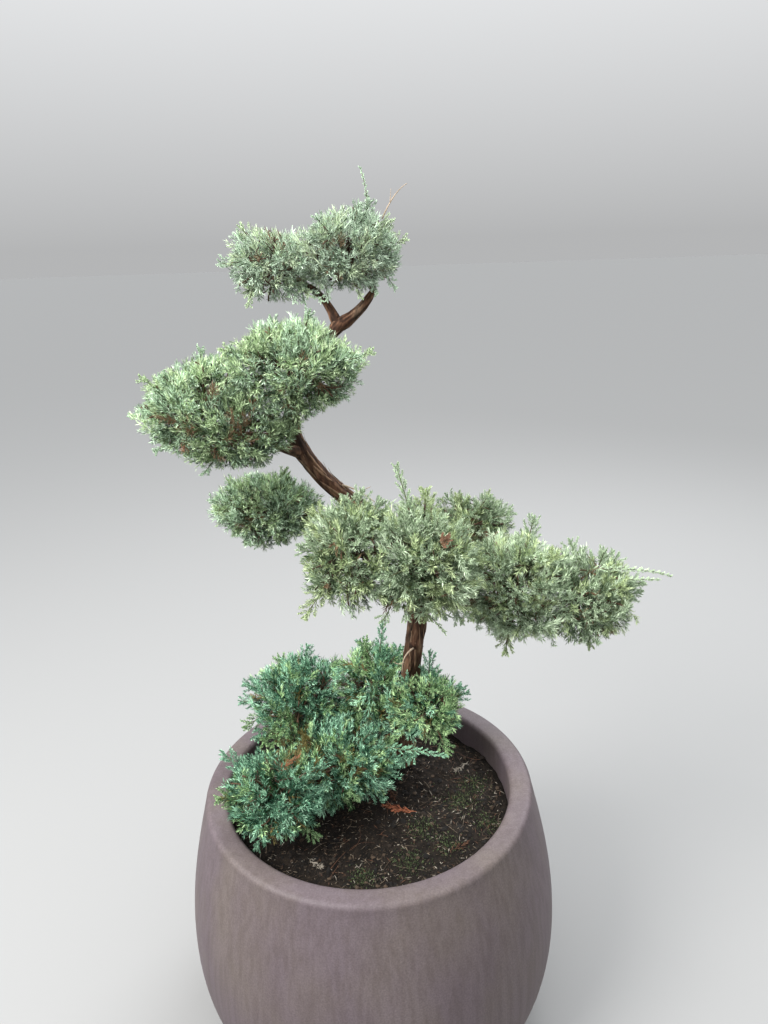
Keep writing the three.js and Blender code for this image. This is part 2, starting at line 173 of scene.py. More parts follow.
# Growth by kind. length, side and finger are a spray's, its branchlets' and their fingers' millimetres, and
# thick is half a scale's width. slim is how much shorter branchlets get towards the tip, and spread their
# degrees. density and shade are outer and inner sprays for each square metre of a mass, lift is how far
# they turn up, and inside is the level of light of the inner ones.
GROWTH = {
    "tight": dict(
        length=34, branchlets=10, side=11, finger=7.2, thick=0.6, spread=48, slim=0.5,
        density=6000, shade=1000, lift=0.35, plumes=6, inside=-1.4,
    ),
    "apex": dict(
        length=40, branchlets=10, side=12, finger=8.0, thick=0.62, spread=44, slim=0.5,
        density=4200, shade=600, lift=0.3, plumes=10, inside=-1.1,
    ),
    "plume": dict(
        length=54, branchlets=13, side=14, finger=8.5, thick=0.7, spread=40, slim=0.62,
        density=3500, shade=900, lift=0.3, plumes=13, inside=-0.8,
    ),
    "low": dict(
        length=50, branchlets=12, side=13, finger=8.0, thick=0.7, spread=42, slim=0.6,
        density=3700, shade=900, lift=0.35, plumes=10, inside=-1.6,
    ),
}
FINGERS = 6
TEMPLATE_COUNT, SHADE_TEMPLATE_COUNT = 14, 6
SIDE_TWIGS = 54
# Radii of twigs at their root and tip, and rows of points along them
MAIN_TWIG, SIDE_TWIG, PLUME_TWIG = (2.7, 1.1, 7), (1.6, 0.9, 4), (1.4, 0.6, 6)
# Radians over which tufts spread round main and side twigs
TUFT_WIDTHS = (0.3, 0.16)
# Shares of the outline's sprays that stand out from it, are dry between tufts, or are rusty at random
STRAY_SHARE, DRY_SHARE, RUSTY_SHARE = 0.14, 0.09, 0.0008
# Way along a plume from one side spray to the next, and degrees that these lean out at its foot and tip
PLUME_STEP = 4.5
PLUME_LEAN = (44, 26)
# Shells of inner sprays: share of the mass's reach, and how far their directions are turned
SHELLS = [(0.78, 3.3), (0.56, 4.9)]
INNER_STRAW_SHARE, INNER_WARM_SHARE = 0.12, 0.3

# Steps from dark to light in each ladder of greens, and the tones that a spray can have
LADDER = 5
COOL, WARM, STRAW, RUST = range(4)
# Darkest and lightest green of each kind, for cool and for warm sprays, then straw and rust
TINTS = {
    "tight": [(51, 70, 47), (226, 255, 220), (66, 84, 49), (230, 255, 206), (116, 94, 70), (146, 106, 82)],
    # The apex's dark greens are kept pale, partly painted light for the haze of bright sky round the crown.
    "apex": [(98, 114, 96), (220, 240, 216), (104, 116, 92), (224, 242, 206), (122, 102, 80), (158, 106, 80)],
    "plume": [(74, 94, 65), (212, 229, 198), (80, 96, 57), (216, 232, 184), (116, 94, 70), (170, 134, 112)],
    "low": [(10, 52, 31), (192, 237, 203), (28, 62, 27), (204, 234, 176), (108, 98, 56), (146, 102, 72)],
}
# Each mass's steps up its ladder, and its share of warm sprays. The steps are partly the mass's own green and
# partly painted light and shade, for the light that falls on it.
PAINTED_LIGHT_AND_WARMTH = {
    "low_front": (0.1, 0.12), "low_middle": (0.45, 0.3), "low_back": (0.2, 0.3),
    "low_top": (0.95, 0.7), "low_right": (1.0, 0.7), "middle_left": (0.35, 0.45),
    "middle_right": (0.45, 0.4), "back_right": (0.0, 0.35), "right_inner": (0.95, 0.3),
    "right_outer": (0.35, 0.2), "lower_left": (0.4, 0.4), "left_outer": (0.6, 0.55),
    "left_inner": (0.55, 0.5), "left_under": (0.0, 0.5), "apex_left": (0.5, 0.35),
    "apex_right": (0.4, 0.35),
}

# Masses whose plumes past WHIP_DEPTH give way to the sprigs below
WHIPS = {"right_outer", "apex_right"}
WHIP_DEPTH = 1.35
# How full a mass's first plume is, where it is a slender spire
SPIRES = {"middle_right": 0.65, "low_top": 0.8, "left_outer": 0.75}
# Hollows in a mass's outline: middle, width, the share of its reach that they take, and of dead sprays
BAYS = {
    "low_front": [((-120, -52, 552), 38, 0.13, 0.45), ((-114, -90, 567), 24, 0.11, 0.55)],
    "low_middle": [((-112, -36, 530), 34, 0.08, 0.45), ((-34, -60, 550), 17, 0.1, 0.35)],
    "low_back": [((-150, 52, 502), 32, 0.0, 0.45)],
    "middle_left": [((-27, -147, 890), 16, 0.03, 0.3)],
    "right_inner": [((175, -67, 801), 20, 0.05, 0.35)],
    "right_outer": [((318, -44, 812), 18, 0.04, 0.3)],
    "left_outer": [((-161, -55, 1119), 20, 0.05, 0.35), ((-204, -89, 1059), 20, 0.06, 0.35)],
    "left_under": [((-129, -90, 1071), 20, 0.05, 0.3), ((-205, -83, 1058), 18, 0.05, 0.35)],
    "left_inner": [((-106, -50, 1071), 20, 0.02, 0.3)],
    "apex_left": [((-84, 140, 1304), 30, 0.2, 0.1)],
    "apex_right": [((-86, 132, 1306), 30, 0.24, 0.1)],
}
# Plumes that may pass their mass's parting planes: foot, knee, top, how full they are, and tone
SPRIGS = {
    "right_outer": [
        ((340, -25, 824), (419, -25, 826), (478, 20, 788), 0.34, COOL),
        ((384, -40, 812), (420, -24, 806), (452, 0, 792), 0.3, COOL),
    ],
    "low_middle": [((30, -24, 524), (78, -46, 534), (124, -48, 522), 0.5, COOL)],
    "low_right": [
        ((78, -14, 524), (74, -30, 518), (66, -38, 506), 0.8, COOL),
        ((68, -10, 514), (60, -26, 508), (56, -34, 496), 0.8, COOL),
    ],
    "low_back": [
        ((-118, 44, 536), (-130, 12, 548), (-140, -14, 545), 1.0, WARM),
        ((-160, 50, 525), (-176, 22, 538), (-180, -2, 530), 0.9, COOL),
        ((-150, 44, 520), (-164, 16, 530), (-168, -8, 524), 0.9, WARM),
        ((-140, 40, 520), (-150, 12, 528), (-153, -12, 521), 0.9, WARM),
        ((-130, 40, 520), (-138, 12, 526), (-138, -12, 516), 0.9, STRAW),
        ((-118, 40, 518), (-122, 12, 526), (-122, -12, 518), 0.9, WARM),
        ((-104, 40, 516), (-104, 8, 524), (-108, -16, 516), 0.9, STRAW),
    ],
    "low_front": [
        ((-122, -50, 516), (-128, -56, 524), (-134, -62, 530), 0.5, RUST),
        ((-128, -122, 560), (-115, -108, 566), (-100, -93, 565), 0.36, RUST),
    ],
    "middle_left": [
        ((10, -92, 884), (26, -108, 900), (40, -118, 912), 1.0, COOL),
        ((16, -88, 872), (32, -106, 880), (44, -116, 890), 1.0, COOL),
        ((24, -94, 880), (38, -106, 892), (49, -113, 899), 1.0, COOL),
        ((34, -100, 872), (42, -108, 881), (48, -113, 890), 1.0, COOL),
        ((-18, -110, 878), (-12, -124, 886), (-4, -133, 894), 1.0, COOL),
        ((44, -104, 814), (38, -110, 804), (30, -115, 796), 0.7, COOL),
    ],
    "middle_right": [
        ((112, -124, 912), (116, -133, 918), (121, -139, 927), 0.5, RUST),
        ((108, -128, 916), (112, -136, 921), (114, -141, 929), 0.5, RUST),
        ((84, -94, 806), (102, -92, 790), (120, -90, 762), 0.36, COOL),
        ((86, -90, 812), (90, -93, 798), (94, -96, 786), 0.85, WARM),
        ((108, -82, 812), (116, -86, 798), (122, -90, 786), 0.85, COOL),
        ((134, -80, 806), (138, -84, 790), (144, -88, 776), 0.9, COOL),
        ((150, -76, 810), (153, -80, 792), (158, -84, 778), 0.9, WARM),
        ((62, -104, 816), (63, -110, 806), (65, -115, 797), 0.7, COOL),
    ],
    "right_inner": [
        ((214, -62, 800), (208, -74, 806), (200, -87, 812), 1.0, COOL),
        ((206, -58, 786), (202, -74, 792), (198, -87, 798), 1.0, WARM),
        ((226, -66, 786), (224, -78, 792), (219, -89, 797), 1.0, COOL),
        ((226, -66, 806), (220, -78, 812), (214, -89, 818), 1.0, COOL),
        ((262, -60, 808), (254, -70, 812), (245, -80, 818), 1.0, COOL),
        ((256, -56, 796), (248, -68, 802), (240, -78, 806), 1.0, WARM),
        ((290, -40, 800), (287, -56, 806), (286, -68, 812), 1.0, COOL),
        ((296, -36, 788), (294, -52, 794), (292, -64, 800), 1.0, COOL),
    ],
    "left_inner": [
        ((-118, 10, 1088), (-110, -16, 1092), (-104, -44, 1096), 1.0, COOL),
        ((-104, 10, 1096), (-98, -18, 1100), (-92, -48, 1106), 1.0, WARM),
        ((-100, 6, 1080), (-96, -18, 1084), (-90, -46, 1088), 1.0, COOL),
        ((-112, 6, 1104), (-106, -20, 1108), (-102, -50, 1112), 1.0, COOL),
    ],
    "apex_left": [
        ((-76, 126, 1240), (-70, 118, 1222), (-68, 112, 1206), 0.7, COOL),
        ((-140, 122, 1236), (-146, 106, 1220), (-148, 98, 1204), 0.7, WARM),
        ((-96, 128, 1238), (-88, 112, 1222), (-80, 100, 1208), 0.7, COOL),
        ((-84, 124, 1236), (-70, 108, 1226), (-58, 98, 1216), 0.7, WARM),
        ((-66, 122, 1226), (-52, 108, 1218), (-42, 98, 1208), 0.6, COOL),
    ],
    "apex_right": [
        ((28, 122, 1312), (33, 122, 1354), (21, 122, 1387), 0.32, COOL),
        ((-36, 108, 1246), (-34, 98, 1226), (-32, 96, 1210), 0.7, COOL),
        ((4, 96, 1240), (12, 88, 1224), (16, 86, 1212), 0.6, WARM),
        ((28, 104, 1248), (35, 92, 1232), (38, 88, 1216), 0.7, COOL),
        ((46, 112, 1250), (58, 104, 1236), (66, 100, 1222), 0.7, COOL),
    ],
}
# Spots where the sprays of a mass's outline are rusty
RUST_SPOTS = {"low_front": (-111, -104, 562), "left_outer": (-214, -78, 1036)}
RUST_WIDTH = 9.0

# Small helpers


def unit(v):
    return v / np.maximum(np.linalg.norm(v, axis=-1, keepdims=True), 1e-9)


def bell(distance, width):
    """1 at no distance, falling off over about a width."""
    return np.exp(-((distance / width) ** 2))


HASH_STEPS = np.array([127.1, 311.7, 74.7])
HASH_SCALE = 43758.5453


def scattered(phase):
    """An unruly but fixed value between 0 and 1 for each phase."""
    wave = np.sin(phase) * HASH_SCALE
    return wave - np.floor(wave)


def chance(seed, index):
    """The source's random value between 0 and 1 for a seed and an index."""
    return scattered(seed * HASH_STEPS[0] + np.asarray(index) * HASH_STEPS[1])


def noise(points, seed):
    """Smooth value noise between 0 and 1 at an array of points, one cell to the unit."""
    cell = np.floor(points)
    part = points - cell
    part = part * part * (3 - 2 * part)
    total = 0.0
    for corner in np.ndindex(2, 2, 2):
        value = scattered((cell + corner) @ HASH_STEPS + seed * 53.3)
        total = total + np.prod(np.where(corner, part, 1 - part), axis=-1) * value
    return total


def round_angles(sides):
    return TURN * np.arange(sides) / sides


def level_ways(turns, rise):
    """Directions by their turn round the axis and their rise."""
    return np.stack([np.cos(turns), np.sin(turns), rise], -1)


def revolved(radii, heights, sides):
    """A ring of points round the axis for each radius and height."""
    turns = round_angles(sides)
    radii, heights = np.reshape(radii, (-1, 1)), np.reshape(heights, (-1, 1))
    return np.stack([radii * np.cos(turns), radii * np.sin(turns), np.repeat(heights, sides, 1)], -1)


class Curve:
    """A curve walked by its length."""

    def __init__(self, point):
        self.point = point
        self.params = np.linspace(0.0, 1.0, 201)
        steps = np.linalg.norm(np.diff(point(self.params), axis=0), axis=1)
        self.walked = np.concatenate([[0.0], np.cumsum(steps)])
        self.length = self.walked[-1]

    def at(self, share):
        walk = np.clip(np.atleast_1d(share), 0, 1) * self.length
        return self.point(np.interp(walk, self.walked, self.params))

    def frames(self, shares):
        """Spots, and the tangents, normals and binormals that turn least along them."""
        step = 0.5 / self.length
        tangents = unit(self.at(shares + step) - self.at(shares - step))
        first = tangents[0]
        side = unit(np.cross(first, np.eye(3)[np.argmin(np.abs(first))]))
        normals = [np.cross(first, side)]
        for tangent in tangents[1:]:
            last = normals[-1]
            normals.append(unit(last - tangent * (last @ tangent)))
        normals = np.array(normals)
        return self.at(shares), tangents, normals, np.cross(tangents, normals)


def centripetal(knots):
    """A smooth curve through its knots."""
    knots = np.array(knots, float)
    padded = np.vstack([2 * knots[0] - knots[1], knots, 2 * knots[-1] - knots[-2]])

    def point(t):
        place = np.atleast_1d(t) * (len(knots) - 1)
        cell = np.minimum(place.astype(int), len(knots) - 2)
        w = (place - cell)[:, None]
        p0, p1, p2, p3 = (padded[cell + i] for i in range(4))
        pairs = ((p0, p1), (p1, p2), (p2, p3))
        d0, d1, d2 = (np.sum((b - a) ** 2, axis=1, keepdims=True) ** 0.25 for a, b in pairs)
        m1 = ((p1 - p0) / d0 - (p2 - p0) / (d0 + d1) + (p2 - p1) / d1) * d1
        m2 = ((p2 - p1) / d1 - (p3 - p1) / (d1 + d2) + (p3 - p2) / d2) * d1
        square = -3 * p1 + 3 * p2 - 2 * m1 - m2
        cube = 2 * p1 - 2 * p2 + m1 + m2
        return p1 + w * m1 + w**2 * square + w**3 * cube

    return Curve(point)


def quadratic(start, knee, end, t):
    return (1 - t) ** 2 * start + 2 * (1 - t) * t * knee + t**2 * end


def bezier(start, knee, end):
    start, knee, end = (np.array(p, float) for p in (start, knee, end))
    return Curve(lambda t: quadratic(start, knee, end, np.atleast_1d(t)[:, None]))


def path_through(start, knee, end, rows):
    """Smooth paths from each start by its knee to its end, as arrays of rows of points."""
    start, knee, end = (np.atleast_2d(np.asarray(p, float))[:, None] for p in (start, knee, end))
    return quadratic(start, knee, end, np.linspace(0, 1, rows)[None, :, None])


# Mesh building


def placed(name, data):
    """A new object of the scene."""
    made = bpy.data.objects.new(name, data)
    bpy.context.scene.collection.objects.link(made)
    return made


class Batch:
    """Triangles gathered for one piece, each with the number of its material."""

    def __init__(self):
        self.verts, self.faces, self.tints, self.values = [], [], [], []
        self.count = 0

    def add(self, verts, faces, tints, values=1.0):
        verts = np.asarray(verts, float).reshape(-1, 3)
        faces = np.asarray(faces, int).reshape(-1, 3)
        self.verts.append(verts)
        self.faces.append(faces + self.count)
        self.tints.append(np.broadcast_to(tints, len(faces)))
        self.values.append(np.broadcast_to(values, len(verts)))
        self.count += len(verts)

    def add_copies(self, verts, pattern, tints):
        """Adds bodies whose faces follow one pattern: a row of verts and a tint for each."""
        count, points = verts.shape[:2]
        faces = np.array(pattern)[None] + points * np.arange(count)[:, None, None]
        self.add(verts, faces, np.repeat(np.broadcast_to(tints, count), len(pattern)))

    def piece(self, name, materials, slot, smooth, replaces=(), value_name=None):
        """Writes the piece, with its values as an attribute if they have a name."""
        verts = np.concatenate(self.verts) * MM
        faces = np.concatenate(self.faces)
        mesh = bpy.data.meshes.new(name)
        mesh.vertices.add(len(verts))
        mesh.vertices.foreach_set("co", verts.astype(np.float32).ravel())
        mesh.loops.add(len(faces) * 3)
        mesh.loops.foreach_set("vertex_index", faces.astype(np.int32).ravel())
        mesh.polygons.add(len(faces))
        mesh.polygons.foreach_set("loop_start", np.arange(0, len(faces) * 3, 3, dtype=np.int32))
        mesh.polygons.foreach_set("material_index", np.concatenate(self.tints).astype(np.int32))
        mesh.polygons.foreach_set("use_smooth", np.full(len(faces), smooth))
        if value_name:
            layer = mesh.attributes.new(value_name, "FLOAT", "POINT")
            layer.data.foreach_set("value", np.concatenate(self.values).astype(np.float32))
        for each in materials:
            mesh.materials.append(each)
        mesh.update(calc_edges=True)
        mesh.validate()
        piece = placed(name, mesh)
        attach(piece, "root")
        if replaces:
            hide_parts(*replaces)


def across(along, roll=0.0):
    """Two unit vectors across each direction, turned about it by roll."""
    helper = np.where(np.abs(along[..., 2:3]) < 0.9, [0.0, 0.0, 1.0], [1.0, 0.0, 0.0])
    side = unit(np.cross(along, helper))
    face = np.cross(side, along)
    c, s = (np.asarray(value)[..., None] for value in (np.cos(roll), np.sin(roll)))
    return c * side + s * face, c * face - s * side


# Blades: place of their widest point, height of their fold, and faces over root, two sides and tip
SLIVER = (0.5, 0.6, [[0, 1, 2], [3, 2, 1], [0, 3, 1], [0, 2, 3]])
KITE = (0.42, 0.55, [[0, 1, 3], [0, 3, 2]])
SPINDLE = [[0, 2, 1], [0, 3, 2], [0, 1, 3], [4, 1, 2], [4, 2, 3], [4, 3, 1]]


def blades(batch, form, roots, tips, radii, rolls, tints):
    """Folded blades from roots to tips: closed slivers of four triangles, or kites of two."""
    widest, fold, pattern = form
    side, face = across(unit(tips - roots), rolls)
    radii = np.reshape(radii, (-1, 1))
    middle = roots + widest * (tips - roots) + fold * radii * face
    reach = radii * side
    batch.add_copies(np.stack([roots, middle + reach, middle - reach, tips], axis=1), pattern, tints)


def spindles(batch, roots, tips, radii, tints):
    """Closed three-sided spindles of six triangles each."""
    side, face = across(unit(tips - roots))
    middle = roots + 0.4 * (tips - roots)
    ring = []
    for turn in round_angles(3):
        ring.append(middle + radii[:, None] * (math.cos(turn) * side + math.sin(turn) * face))
    batch.add_copies(np.stack([roots, *ring, tips], axis=1), SPINDLE, tints)


def band_faces(rows, sides):
    """Triangles of a band of rows, each a closed ring of sides points."""
    row, col = np.meshgrid(np.arange(rows - 1), np.arange(sides), indexing="ij")
    a = (row * sides + col).ravel()
    b = (row * sides + (col + 1) % sides).ravel()
    return np.concatenate([np.stack([a, b, b + sides], 1), np.stack([a, b + sides, a + sides], 1)])


def capped_faces(rows, sides):
    """A band's triangles, and fans from its ends to two points more."""
    col = np.arange(sides)
    after = (col + 1) % sides
    last = (rows - 1) * sides
    foot = np.stack([np.full(sides, rows * sides), after, col], 1)
    head = np.stack([np.full(sides, rows * sides + 1), last + col, last + after], 1)
    return np.concatenate([band_faces(rows, sides), foot, head])


def tubes(batch, paths, radii, sides, tints, flat=1.0, outward=None):
    """Closed tubes along paths of equal length. flat squeezes them towards outward."""
    count, rows = paths.shape[:2]
    tangents = unit(np.gradient(paths, axis=1))
    if outward is None:
        overall = unit(paths[:, -1] - paths[:, 0])
        outward = np.repeat(across(overall)[0][:, None], rows, axis=1)
    face = unit(outward - tangents * np.sum(outward * tangents, axis=-1, keepdims=True))
    side = np.cross(tangents, face)
    c, s = (wave(round_angles(sides))[None, None, :, None] for wave in (np.cos, np.sin))
    ring = c * side[:, :, None] + flat * s * face[:, :, None]
    verts = paths[:, :, None] + np.atleast_2d(radii)[:, :, None, None] * ring
    verts = np.concatenate([verts.reshape(count, rows * sides, 3), paths[:, :1], paths[:, -1:]], axis=1)
    batch.add_copies(verts, capped_faces(rows, sides), tints)


# Materials


def linear(srgb):
    c = np.asarray(srgb, float) / 255
    return tuple(np.where(c <= 0.04045, c / 12.92, ((c + 0.055) / 1.055) ** 2.4)) + (1.0,)


def grey(value):
    return (value, value, value, 1.0)


class Nodes:
    """A tree of shader nodes, built up from their sockets."""

    def __init__(self, owner):
        owner.use_nodes = True
        self.tree = owner.node_tree

    def put(self, socket, value):
        """Sets a socket to a value, or links it to another node's output."""
        if isinstance(value, bpy.types.NodeSocket):
            self.tree.links.new(value, socket)
        else:
            socket.default_value = value

    def add(self, kind, **inputs):
        made = self.tree.nodes.new(kind)
        for key, value in inputs.items():
            self.put(made.inputs[key], value)
        return made

    def noise(self, scale, detail=3.0, stretch=(1, 1, 1)):
        place = self.add("ShaderNodeTexCoord").outputs["Object"]
        squeezed = self.add("ShaderNodeMapping", Vector=place, Scale=stretch).outputs["Vector"]
        return self.add("ShaderNodeTexNoise", Vector=squeezed, Scale=scale, Detail=detail).outputs["Fac"]

    def ramp(self, source, *stops):
        """A colour ramp over source: each stop is a place and a linear colour."""
        made = self.add("ShaderNodeValToRGB", Fac=source)
        band = made.color_ramp
        while len(band.elements) < len(stops):
            band.elements.new(0.5)
        for element, (place, colour) in zip(band.elements, stops):
            element.position = place
            element.color = colour
        return made.outputs["Color"]

    def shades(self, source, *stops):
        """A ramp whose stops have sRGB colours from 0 to 255."""
        return self.ramp(source, *((place, linear(colour)) for place, colour in stops))

    def mix(self, share, first, second, blend="MIX"):
        made = self.tree.nodes.new("ShaderNodeMix")
        made.data_type = "RGBA"
        made.blend_type = blend
        # The sockets of a colour mix: its share and its two colours
        for number, value in ((0, share), (6, first), (7, second)):
            self.put(made.inputs[number], value)
        return made.outputs[2]

    def shaded(self, colour, source, *stops, share=1.0):
        """A colour multiplied by a ramp."""
        return self.mix(share, colour, self.ramp(source, *stops), "MULTIPLY")


class Look(Nodes):
    """A material and its shader."""

    def __init__(self, name, roughness, specular):
        self.material = bpy.data.materials.new(name)
        super().__init__(self.material)
        self.inputs = self.tree.nodes["Principled BSDF"].inputs
        self.put(self.inputs["Roughness"], roughness)
        self.put(self.inputs["Specular IOR Level"], specular)

    def bump(self, height, strength, distance):
        made = self.add("ShaderNodeBump", Height=height, Strength=strength, Distance=distance)
        self.put(self.inputs["Normal"], made.outputs["Normal"])

    def coloured(self, colour):
        self.put(self.inputs["Base Color"], colour)
        return self.material


def tinted(name, srgb, roughness=0.62, spread=0.12, scale=90.0):
    """A plain tint with a little natural unevenness."""
    look = Look(name, roughness, 0.35)
    base = np.array(linear(srgb)[:3])
    dark, light = ((*np.minimum(base * share, 1), 1.0) for share in (1 - spread, 1 + spread))
    return look.coloured(look.ramp(look.noise(scale), (0.35, dark), (0.65, light)))


def pot_material():
    look = Look("planter_resin", 0.62, 0.4)
    streaks = look.noise(26, 4, (1, 1, 0.06))
    clouds = look.noise(5.5)
    stains = look.noise(9, 4, (1, 1, 0.5))
    drips = look.noise(120, 3, (1, 1, 0.045))
    grit = look.noise(420, 2)
    base = look.shades(streaks, (0.3, (84, 73, 76)), (0.7, (94, 83, 88)))
    worn = look.shades(clouds, (0.35, (81, 71, 74)), (0.7, (99, 89, 94)))
    stain = look.ramp(stains, (0.42, grey(0)), (0.68, grey(0.6)))
    colour = look.mix(stain, look.mix(0.45, base, worn), linear((96, 87, 80)))
    colour = look.shaded(colour, drips, (0.36, (0.84, 0.82, 0.79, 1)), (0.6, grey(1.04)), share=0.75)
    colour = look.shaded(colour, grit, (0.3, grey(0.82)), (0.7, grey(1.12)))
    look.put(look.inputs["Roughness"], look.ramp(clouds, (0.3, grey(0.55)), (0.7, grey(0.72))))
    look.bump(grit, 0.12, 0.0006)
    return look.coloured(colour)


def bark_material():
    look = Look("stringy_bark", 0.86, 0.25)
    relief = look.tree.nodes.new("ShaderNodeAttribute")
    relief.attribute_name = "relief"
    height = relief.outputs["Fac"]
    patches = look.noise(38, 4, (1, 1, 0.35))
    fibres = look.noise(520, 3, (1, 1, 0.12))
    shreds = look.noise(210, 2, (1, 1, 0.15))
    # Browns and silver both grow darker down into the bark's furrows: partly the bark's own darker furrows,
    # partly painted shade.
    furrow_shaded_browns = [(0.05, (27, 17, 13)), (0.4, (59, 40, 30)), (0.7, (87, 62, 48)), (1.0, (115, 92, 75))]
    brown = look.shades(height, *furrow_shaded_browns)
    silver = look.shades(height, (0.1, (28, 21, 17)), (0.9, (101, 87, 75)))
    weathered = look.ramp(patches, (0.5, grey(0)), (0.72, grey(0.75)))
    colour = look.mix(weathered, brown, silver)
    colour = look.shaded(colour, fibres, (0.3, (0.72, 0.7, 0.68, 1)), (0.7, (1.2, 1.18, 1.15, 1)))
    colour = look.shaded(colour, shreds, (0.36, (0.7, 0.68, 0.66, 1)), (0.62, (1.32, 1.28, 1.22, 1)))
    look.bump(fibres, 0.5, 0.0007)
    return look.coloured(colour)


def soil_material():
    look = Look("potting_compost", 0.95, 0.2)
    crumbs = look.noise(330, 4)
    base = look.shades(look.noise(60, 5), (0.3, (12, 9, 7)), (0.55, (24, 19, 15)), (0.75, (38, 31, 25)))
    flecks = look.ramp(crumbs, (0.6, grey(0)), (0.72, grey(0.7)))
    look.bump(crumbs, 0.8, 0.003)
    return look.coloured(look.mix(flecks, base, linear((70, 59, 46))))


# Limbs with bark

trunk = centripetal(TRUNK_PATH)


def trunk_radius(along, angle):
    share = (along / trunk.length) ** TRUNK["taper"]
    flare = TRUNK["flare"] * np.exp(-np.maximum(along - TRUNK["buried"], 0) / TRUNK["flare_height"])
    ridge = 1 + TRUNK["buttress_depth"] * np.cos(TRUNK["buttresses"] * angle)
    return TRUNK["root"] + (TRUNK["fork"] - TRUNK["root"]) * share + flare * ridge


def bough_radius(along, curve, root, tip):
    """A bough's radius without its collar, at millimetres along it."""
    return root + (tip - root) * along / curve.length


def bark_relief(angle, along, radius, seed):
    """Height of the bark over the wood in millimetres, and the same as a share from 0 to 1."""
    wander = noise(np.stack([along / 70, along * 0, along * 0], -1), seed) - 0.5
    twist = angle + along / BARK_TWIST + 1.1 * wander
    round_way = np.stack([np.cos(twist), np.sin(twist)], -1)

    def layer(around, length, salt):
        points = np.concatenate([round_way * around, (along / length)[..., None]], -1)
        return noise(points + salt * 7.3, seed + salt)

    layers = (layer(*sizes, salt) for salt, sizes in enumerate(BARK_LAYERS.values(), 1))
    furrow, strand, flake, swell = layers
    furrow = 1 - np.abs(2 * furrow - 1)
    strand = 1 - np.abs(2 * strand - 1)
    flake = np.clip((flake - 0.5) * 7, 0, 1)
    share = np.clip(1.05 - 0.62 * furrow**2.2 - 0.3 * strand**2 + 0.22 * flake - 0.1, 0, 1)
    height = (share - 0.55) * 0.16 * radius + (swell - 0.5) * 0.22 * radius
    return height, share


def limb_surface(batch, curve, start, end, mesh, radius_at, seed, bumps=(), round_tip=True):
    """Adds a limb's bark from start to end along its curve, closed at both ends."""
    spacing, sides = mesh
    rows = max(6, int(round((end - start) / spacing)) + 1)
    along = np.linspace(start, end, rows)
    spots, _, normals, binormals = curve.frames(along / curve.length)
    a, t = np.meshgrid(along, round_angles(sides), indexing="ij")
    radius = radius_at(a, t)
    height, share = bark_relief(t, a, radius, seed)
    for place, turn, size, rise in bumps:
        gap = (t - turn + math.pi) % TURN - math.pi
        lobe = np.exp(-(((a - place) / size) ** 2) - (gap * radius / size) ** 2)
        height = height + rise * lobe
    if round_tip:
        close = np.sqrt(np.clip((end - along) / 7.0, 0.0, 1.0))[:, None]
        radius, height = radius * close, height * close
    way = np.cos(t)[..., None] * normals[:, None] - np.sin(t)[..., None] * binormals[:, None]
    skin = (spots[:, None] + (radius + height)[..., None] * way).reshape(-1, 3)
    values = np.concatenate([share.ravel(), [0.5, 0.5]])
    faces = capped_faces(rows, sides)[:, ::-1]
    batch.add(np.concatenate([skin, spots[:1], spots[-1:]]), faces, 0, values)


def nearest_on_trunk(point):
    """Millimetres along the trunk and the angle round it of the place nearest a point."""
    shares = np.linspace(0, 1, 801)
    spots, _, normals, binormals = trunk.frames(shares)
    i = int(np.argmin(np.linalg.norm(spots - point, axis=1)))
    way = np.array(point, float) - spots[i]
    return shares[i] * trunk.length, math.atan2(-(way @ binormals[i]), way @ normals[i])


# Masses by the source's rule


class Mass:
    """A mass of foliage: a lumpy ellipsoid with its own kind of growth."""

    def __init__(self, index, kind, name, centre, radii, *shoots):
        self.kind, self.name = kind, name
        self.low = kind == "low"
        self.plan = GROWTH[kind]
        self.bays = BAYS.get(name, ())
        self.seed = index + 1
        self.centre, self.radii, self.shoots = (np.array(v, float) for v in (centre, radii, shoots))

    def lump(self, way):
        x, y, z = way[..., 0], way[..., 1], way[..., 2]
        first = np.sin(3.9 * x + 1.7 * self.seed) * np.cos(3.3 * y - 2.3 * self.seed)
        second = np.sin(4.3 * z + 2.9 * self.seed + 1.9 * x)
        return 1 + LUMP_HEIGHT * (first + second) / 2

    def reach(self, way, share):
        scale = (np.asarray(share) * self.lump(way))[..., None]
        return self.centre + self.radii * way * scale

    def way_to(self, point):
        return unit((point - self.centre) / self.radii)

    def depth(self, points):
        """Share of the mass's reach at which points lie."""
        way = (points - self.centre) / self.radii
        return np.linalg.norm(way, axis=-1) / self.lump(unit(way))

    def support(self, along):
        return np.linalg.norm(along * self.radii)

    def area(self):
        """Square metres of the ellipsoid's surface."""
        a, b, c = self.radii * MM
        power = 1.6
        return 4 * math.pi * (((a * b) ** power + (a * c) ** power + (b * c) ** power) / 3) ** (1 / power)

    def outward(self, count, turned=0.0):
        """The source's even spread of directions over a mass."""
        i = np.arange(count)
        height = 1 - 2 * (i + 0.5) / count
        turn = i * GOLDEN_ANGLE + (self.seed + turned)
        ring = np.sqrt(1 - height**2)
        return np.stack([ring * np.cos(turn), ring * np.sin(turn), height], -1)

    def beyond(self, points):
        """How far points lie beyond the furthest-crossed parting plane."""
        return np.max([(points - spot) @ normal for spot, normal in self.planes], axis=0)


def parting_plane(mass, other):
    """A point of the plane between two masses, and its normal."""
    gap = other.centre - mass.centre
    normal = unit(gap)
    own, theirs = mass.support(normal), other.support(normal)
    return mass.centre + gap * own / (own + theirs), normal


mass_rows = [(kind, name, *row) for kind, group in MASSES.items() for name, row in group.items()]
masses = [Mass(index, *row) for index, row in enumerate(mass_rows)]
by_name = {mass.name: mass for mass in masses}
for mass in masses:
    mass.planes = [parting_plane(mass, other) for other in masses if other is not mass]


